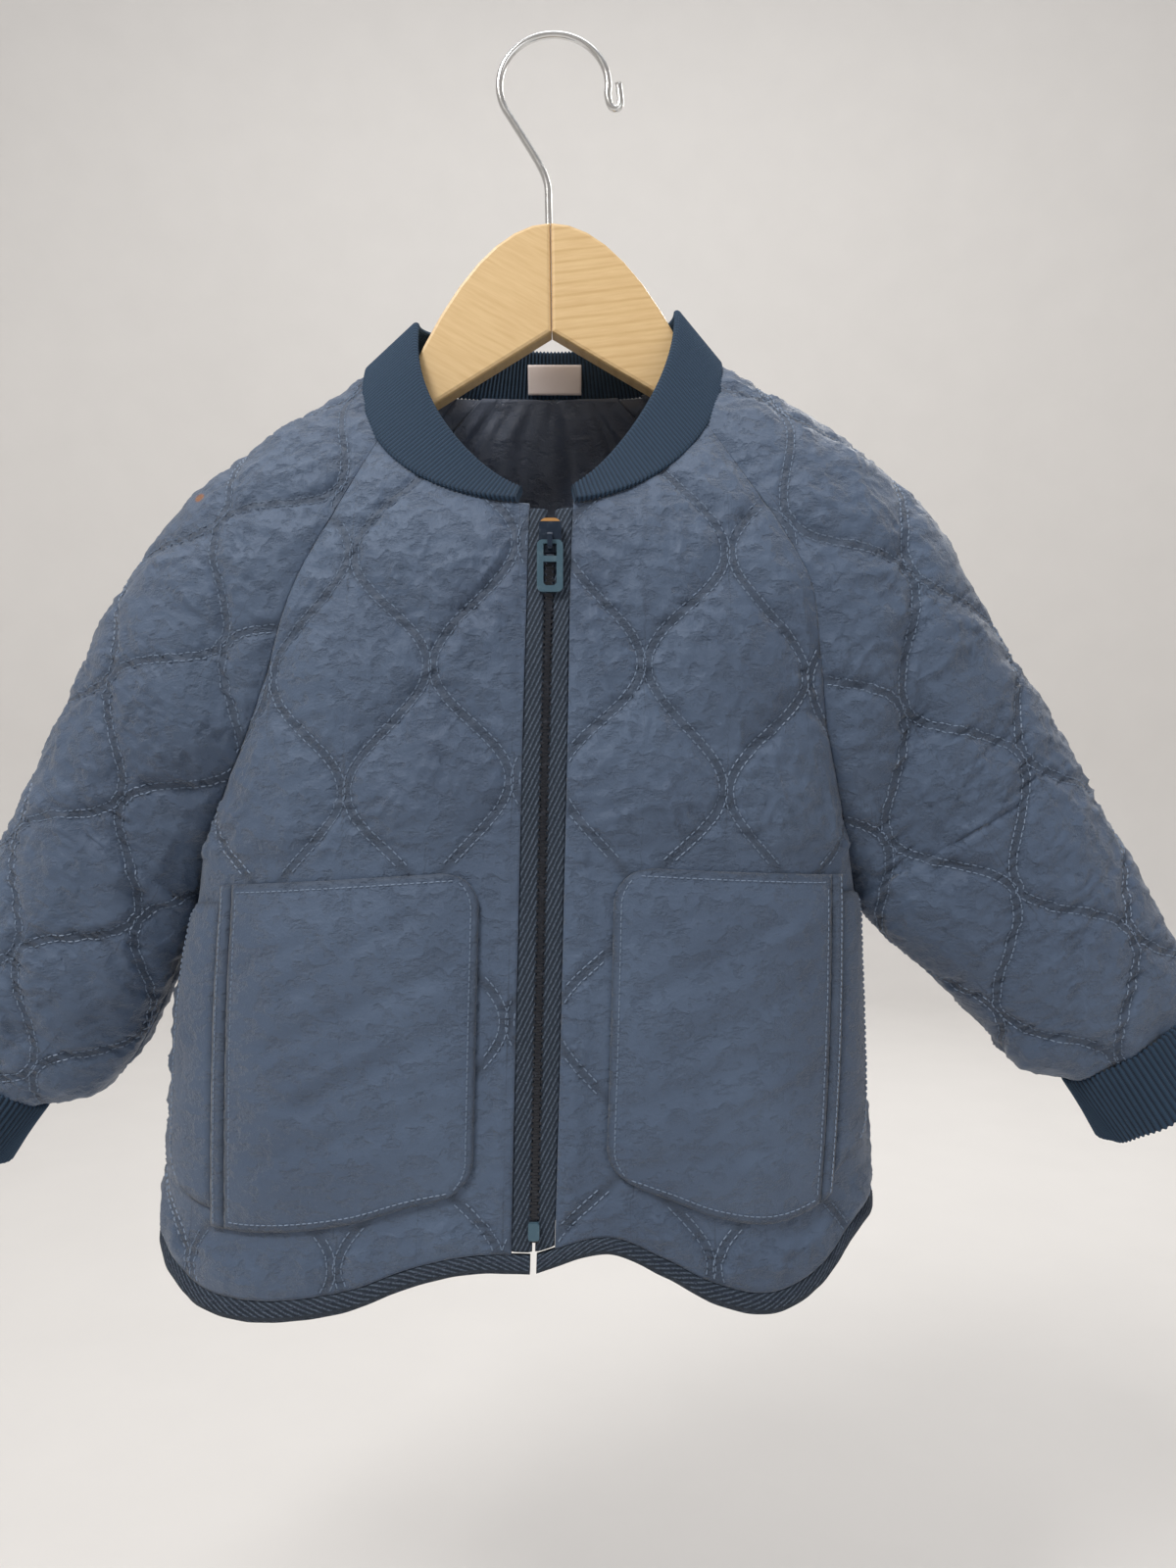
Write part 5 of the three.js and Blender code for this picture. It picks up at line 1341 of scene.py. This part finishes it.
points, ridge = ribbed((up, out), frame_at, count, ribs, RIB["height"], False)
round_it = np.r_[0, np.cumsum(np.hypot(np.diff(up), np.diff(out)))]
along = np.broadcast_to(np.linspace(0, run[-1], count)[None, :], points.shape[:2])
cloth = np.stack([along, np.broadcast_to(round_it[:, None], along.shape),
                  np.broadcast_to(ridge[None, :], along.shape)], axis=-1)
piece = folded_band("collar_rib", points, cloth, rib_knit)
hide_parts("collar")

CUFF = {"pitch": 2.1, "tall": 33.5, "inside": -0.2, "outside": 2.5}
for name, side in SIDES.items():
    sleeve = SLEEVES[name]
    axis, inwards, origin = sleeve_frame(name)
    end, fold = sleeve["shape"][-1], sleeve["lower_fold"][-1][1]
    middle, half = (end[1] + fold) / 2, (fold - end[1]) / 2 * GATHER["width"]
    depth = (end[3] + end[4]) / 2 * GATHER["depth"]
    ribs = int(np.pi * (half + depth) / CUFF["pitch"])
    count = ribs * 7
    around = np.linspace(-np.pi, np.pi, count, endpoint=False)
    ways = np.array([0, 1, 0])
    out_way = (-np.cos(around) * half)[:, None] * inwards + (-np.sin(around) * depth)[:, None] * ways
    foot = origin + axis * (sleeve["end"] - 1.5) + inwards * middle + out_way
    outward = (-np.cos(around) * depth)[:, None] * inwards + (-np.sin(around) * half)[:, None] * ways
    outward /= np.linalg.norm(outward, axis=1, keepdims=True)
    upward = np.broadcast_to(axis, foot.shape)
    tall = np.full(count, CUFF["tall"])
    up, out = pill(CUFF["tall"], CUFF["inside"], CUFF["outside"], 13, 7)
    frame_at = (foot, upward, outward, tall)
    points, ridge = ribbed((up, out), frame_at, count, ribs, RIB["height"], True)
    share = (up / up.max())[:, None]
    wave = (3.0 * share ** 1.5 * np.cos(3 * around + 1)[None, :]
            + 0.9 * share * np.cos(7 * around)[None, :])
    points = points + outward[None] * wave[..., None]
    points = points + axis * (1.6 * share ** 2 * np.cos(2 * around + 0.4)[None, :])[..., None]
    round_it = np.r_[0, np.cumsum(np.hypot(np.diff(up), np.diff(out)))]
    along = np.broadcast_to(((around + np.pi) * (half + depth) / 2)[None, :], points.shape[:2])
    cloth = np.stack([along, np.broadcast_to(round_it[:, None], along.shape),
                      np.broadcast_to(ridge[None, :], along.shape)], axis=-1)
    piece = folded_band(f"cuff_{name}_rib", points, cloth, rib_knit, close_columns=True)
    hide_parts(f"cuff_{name}")

# Lining: dark slate satin behind the neck, hanging in soft folds from the back neck seam, and a
# blank woven label sewn into that seam.
LINING_LOW, LINING_HIGH = 0.62, 0.999
levels = np.linspace(LINING_LOW, LINING_HIGH, 64)
points, far = even_rows(back_panel, levels, 12, 12, 170)[1:]
normal = facing(points, -1)
hang = far / far[:, -1:]
down = 1 - (levels[:, None] - LINING_LOW) / (LINING_HIGH - LINING_LOW)
folds = (1.5 * np.sin(hang * 41 + 1.4 * np.sin(down * 5)) * np.sin(hang * 17 + 0.7)
         + 1.1 * np.sin(hang * 23 + down * 6) * down ** 0.6)
inner = points - normal * (5 + np.clip(1.2 - folds, 0, None) * ease(down * 4 + 0.15))[..., None]
outer = points - normal * 3.6
cloth = np.stack([far, points[..., 2], 0 * far + 9], axis=-1)
piece = closed_cloth("lining_back_satin", outer, inner, cloth, 1, [lining_cloth])
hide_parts("lining_back")

label_rows, label_columns = np.linspace(-7, 7, 12), np.linspace(-13, 13, 24)
down, over = np.meshgrid(label_rows, label_columns, indexing="ij")
lean = np.radians(RIB["back_lean"])
bend = 0.5 * np.cos(over / 9) + 0.25 * np.sin(down / 3)
place = lambda off: np.stack([
    NECK_BACK[0] + over,
    NECK_BACK[1] - 4.2 - np.sin(lean) * down - (off + bend) * np.cos(lean),
    NECK_BACK[2] + 8 + np.cos(lean) * down - (off + bend) * np.sin(lean)], axis=-1)
label_cloth = cloth_material("label_cloth", (0.72, 0.64, 0.66), (0.80, 0.74, 0.75),
                             roughness=0.5, weave=3000, crinkle=60, sheen=0.1, relief=0.0002)
cloth = np.stack([over, down, 0 * over + 9], axis=-1)
piece = closed_cloth("care_label_woven", place(0.4), place(-0.1), cloth, 1, [label_cloth])
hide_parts("care_label")

# The hanger: two boards of pale lacquered beech, glued at the middle line, and a plated wire
# hook whose end is bent back on itself.
def board_material(name, grain, turn, seed):
    """Long grain from stretched noise and thin darker rings, in object coordinates."""
    material = bpy.data.materials.new(name)
    nodes, links, shader = node_chain(material)
    shader.inputs["Coat Weight"].default_value = 0.35
    shader.inputs["Coat Roughness"].default_value = 0.25
    place = nodes.new("ShaderNodeTexCoord")
    lay = nodes.new("ShaderNodeMapping")
    lay.inputs["Location"].default_value = (seed, 0, 0)
    lay.inputs["Rotation"].default_value = (0, turn, 0)
    links.new(place.outputs["Object"], lay.inputs["Vector"])
    stretch = nodes.new("ShaderNodeMapping")
    stretch.inputs["Scale"].default_value = (0.09, 1, 1)
    links.new(lay.outputs["Vector"], stretch.inputs["Vector"])
    streak = nodes.new("ShaderNodeTexNoise")
    streak.inputs["Scale"].default_value = 900
    streak.inputs["Detail"].default_value = 5
    links.new(stretch.outputs["Vector"], streak.inputs["Vector"])
    rings = nodes.new("ShaderNodeTexWave")
    rings.bands_direction = "Z"
    rings.inputs["Scale"].default_value = 62
    rings.inputs["Distortion"].default_value = 2.2
    rings.inputs["Detail"].default_value = 2
    rings.inputs["Detail Scale"].default_value = 0.6
    links.new(stretch.outputs["Vector"], rings.inputs["Vector"])
    thin = nodes.new("ShaderNodeMath")
    thin.operation = "POWER"
    thin.inputs[1].default_value = 5
    links.new(rings.outputs["Fac"], thin.inputs[0])
    tone = nodes.new("ShaderNodeMath")
    tone.operation = "MULTIPLY_ADD"
    tone.inputs[1].default_value = grain
    links.new(thin.outputs["Value"], tone.inputs[0])
    links.new(streak.outputs["Fac"], tone.inputs[2])
    ramp = nodes.new("ShaderNodeValToRGB")
    ramp.color_ramp.elements[0].position = 0.25
    ramp.color_ramp.elements[0].color = (0.78, 0.56, 0.29, 1)
    ramp.color_ramp.elements[1].position = 1.0
    ramp.color_ramp.elements[1].color = (0.64, 0.42, 0.19, 1)
    links.new(tone.outputs["Value"], ramp.inputs["Fac"])
    links.new(ramp.outputs["Color"], shader.inputs["Base Color"])
    rough = nodes.new("ShaderNodeMapRange")
    rough.inputs["To Min"].default_value = 0.36
    rough.inputs["To Max"].default_value = 0.5
    links.new(streak.outputs["Fac"], rough.inputs["Value"])
    links.new(rough.outputs["Result"], shader.inputs["Roughness"])
    return material


for node, material in (("hanger_left", board_material("board_left", 0.12, -0.5, 0.31)),
                       ("hanger_right", board_material("board_right", 0.38, 0.12, 0.87))):
    shown = bpy.data.objects[node]
    shown.data.materials.clear()
    shown.data.materials.append(material)

# The hook's wire: straight out of the boards, round in a slightly wide loop, and turned up at
# its end. A round section is carried along that line.
WIRE_RADIUS = 1.6
HOOK_RADIUS = 23.3
stem = [(0, -85.6), (-0.2, -76), (-0.8, -66), (-4.5, -57)]
arc = np.radians(np.arange(215, -16, -7))
loop = np.stack([2.2 + 1.06 * HOOK_RADIUS * np.cos(arc), -21.7 + HOOK_RADIUS * np.sin(arc)], axis=-1)
bend = [(27.9, -30.5), (30.2, -32.2), (32.2, -30.4), (32.1, -26.0), (31.4, -20.5)]
knots = np.concatenate([np.array(stem), loop, np.array(bend)])
run = np.r_[0, np.cumsum(np.linalg.norm(np.diff(knots, axis=0), axis=1))]
at = np.linspace(0, run[-1], 160)
table = np.column_stack([run, knots])
path = np.stack([read(table, at, 1), 0 * at, read(table, at, 2)], axis=-1)
tangent = np.gradient(path, axis=0)
tangent /= np.linalg.norm(tangent, axis=1, keepdims=True)
aside = np.cross(tangent, [0.0, 1.0, 0.0])
turn = np.linspace(0, 2 * np.pi, 20, endpoint=False)
ring = WIRE_RADIUS * (np.cos(turn)[:, None, None] * aside[None]
                      + np.sin(turn)[:, None, None] * np.array([0, 1.0, 0]))
wire_points = path[None] + ring
cloth = np.stack(np.broadcast_arrays(at[None, :], (turn * WIRE_RADIUS)[:, None]), axis=-1)
chrome = bpy.data.materials.new("bright_wire")
nodes, links, shader = node_chain(chrome)
shader.inputs["Metallic"].default_value = 1.0
shader.inputs["Base Color"].default_value = (0.78, 0.78, 0.77, 1)
place = nodes.new("ShaderNodeTexCoord")
drawn = nodes.new("ShaderNodeTexNoise")
drawn.inputs["Scale"].default_value = 260
links.new(place.outputs["Object"], drawn.inputs["Vector"])
rough = nodes.new("ShaderNodeMapRange")
rough.inputs["To Min"].default_value = 0.12
rough.inputs["To Max"].default_value = 0.3
links.new(drawn.outputs["Fac"], rough.inputs["Value"])
links.new(rough.outputs["Result"], shader.inputs["Roughness"])
piece = folded_band("hook_wire", wire_points, cloth, chrome)
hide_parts("hanger_hook")
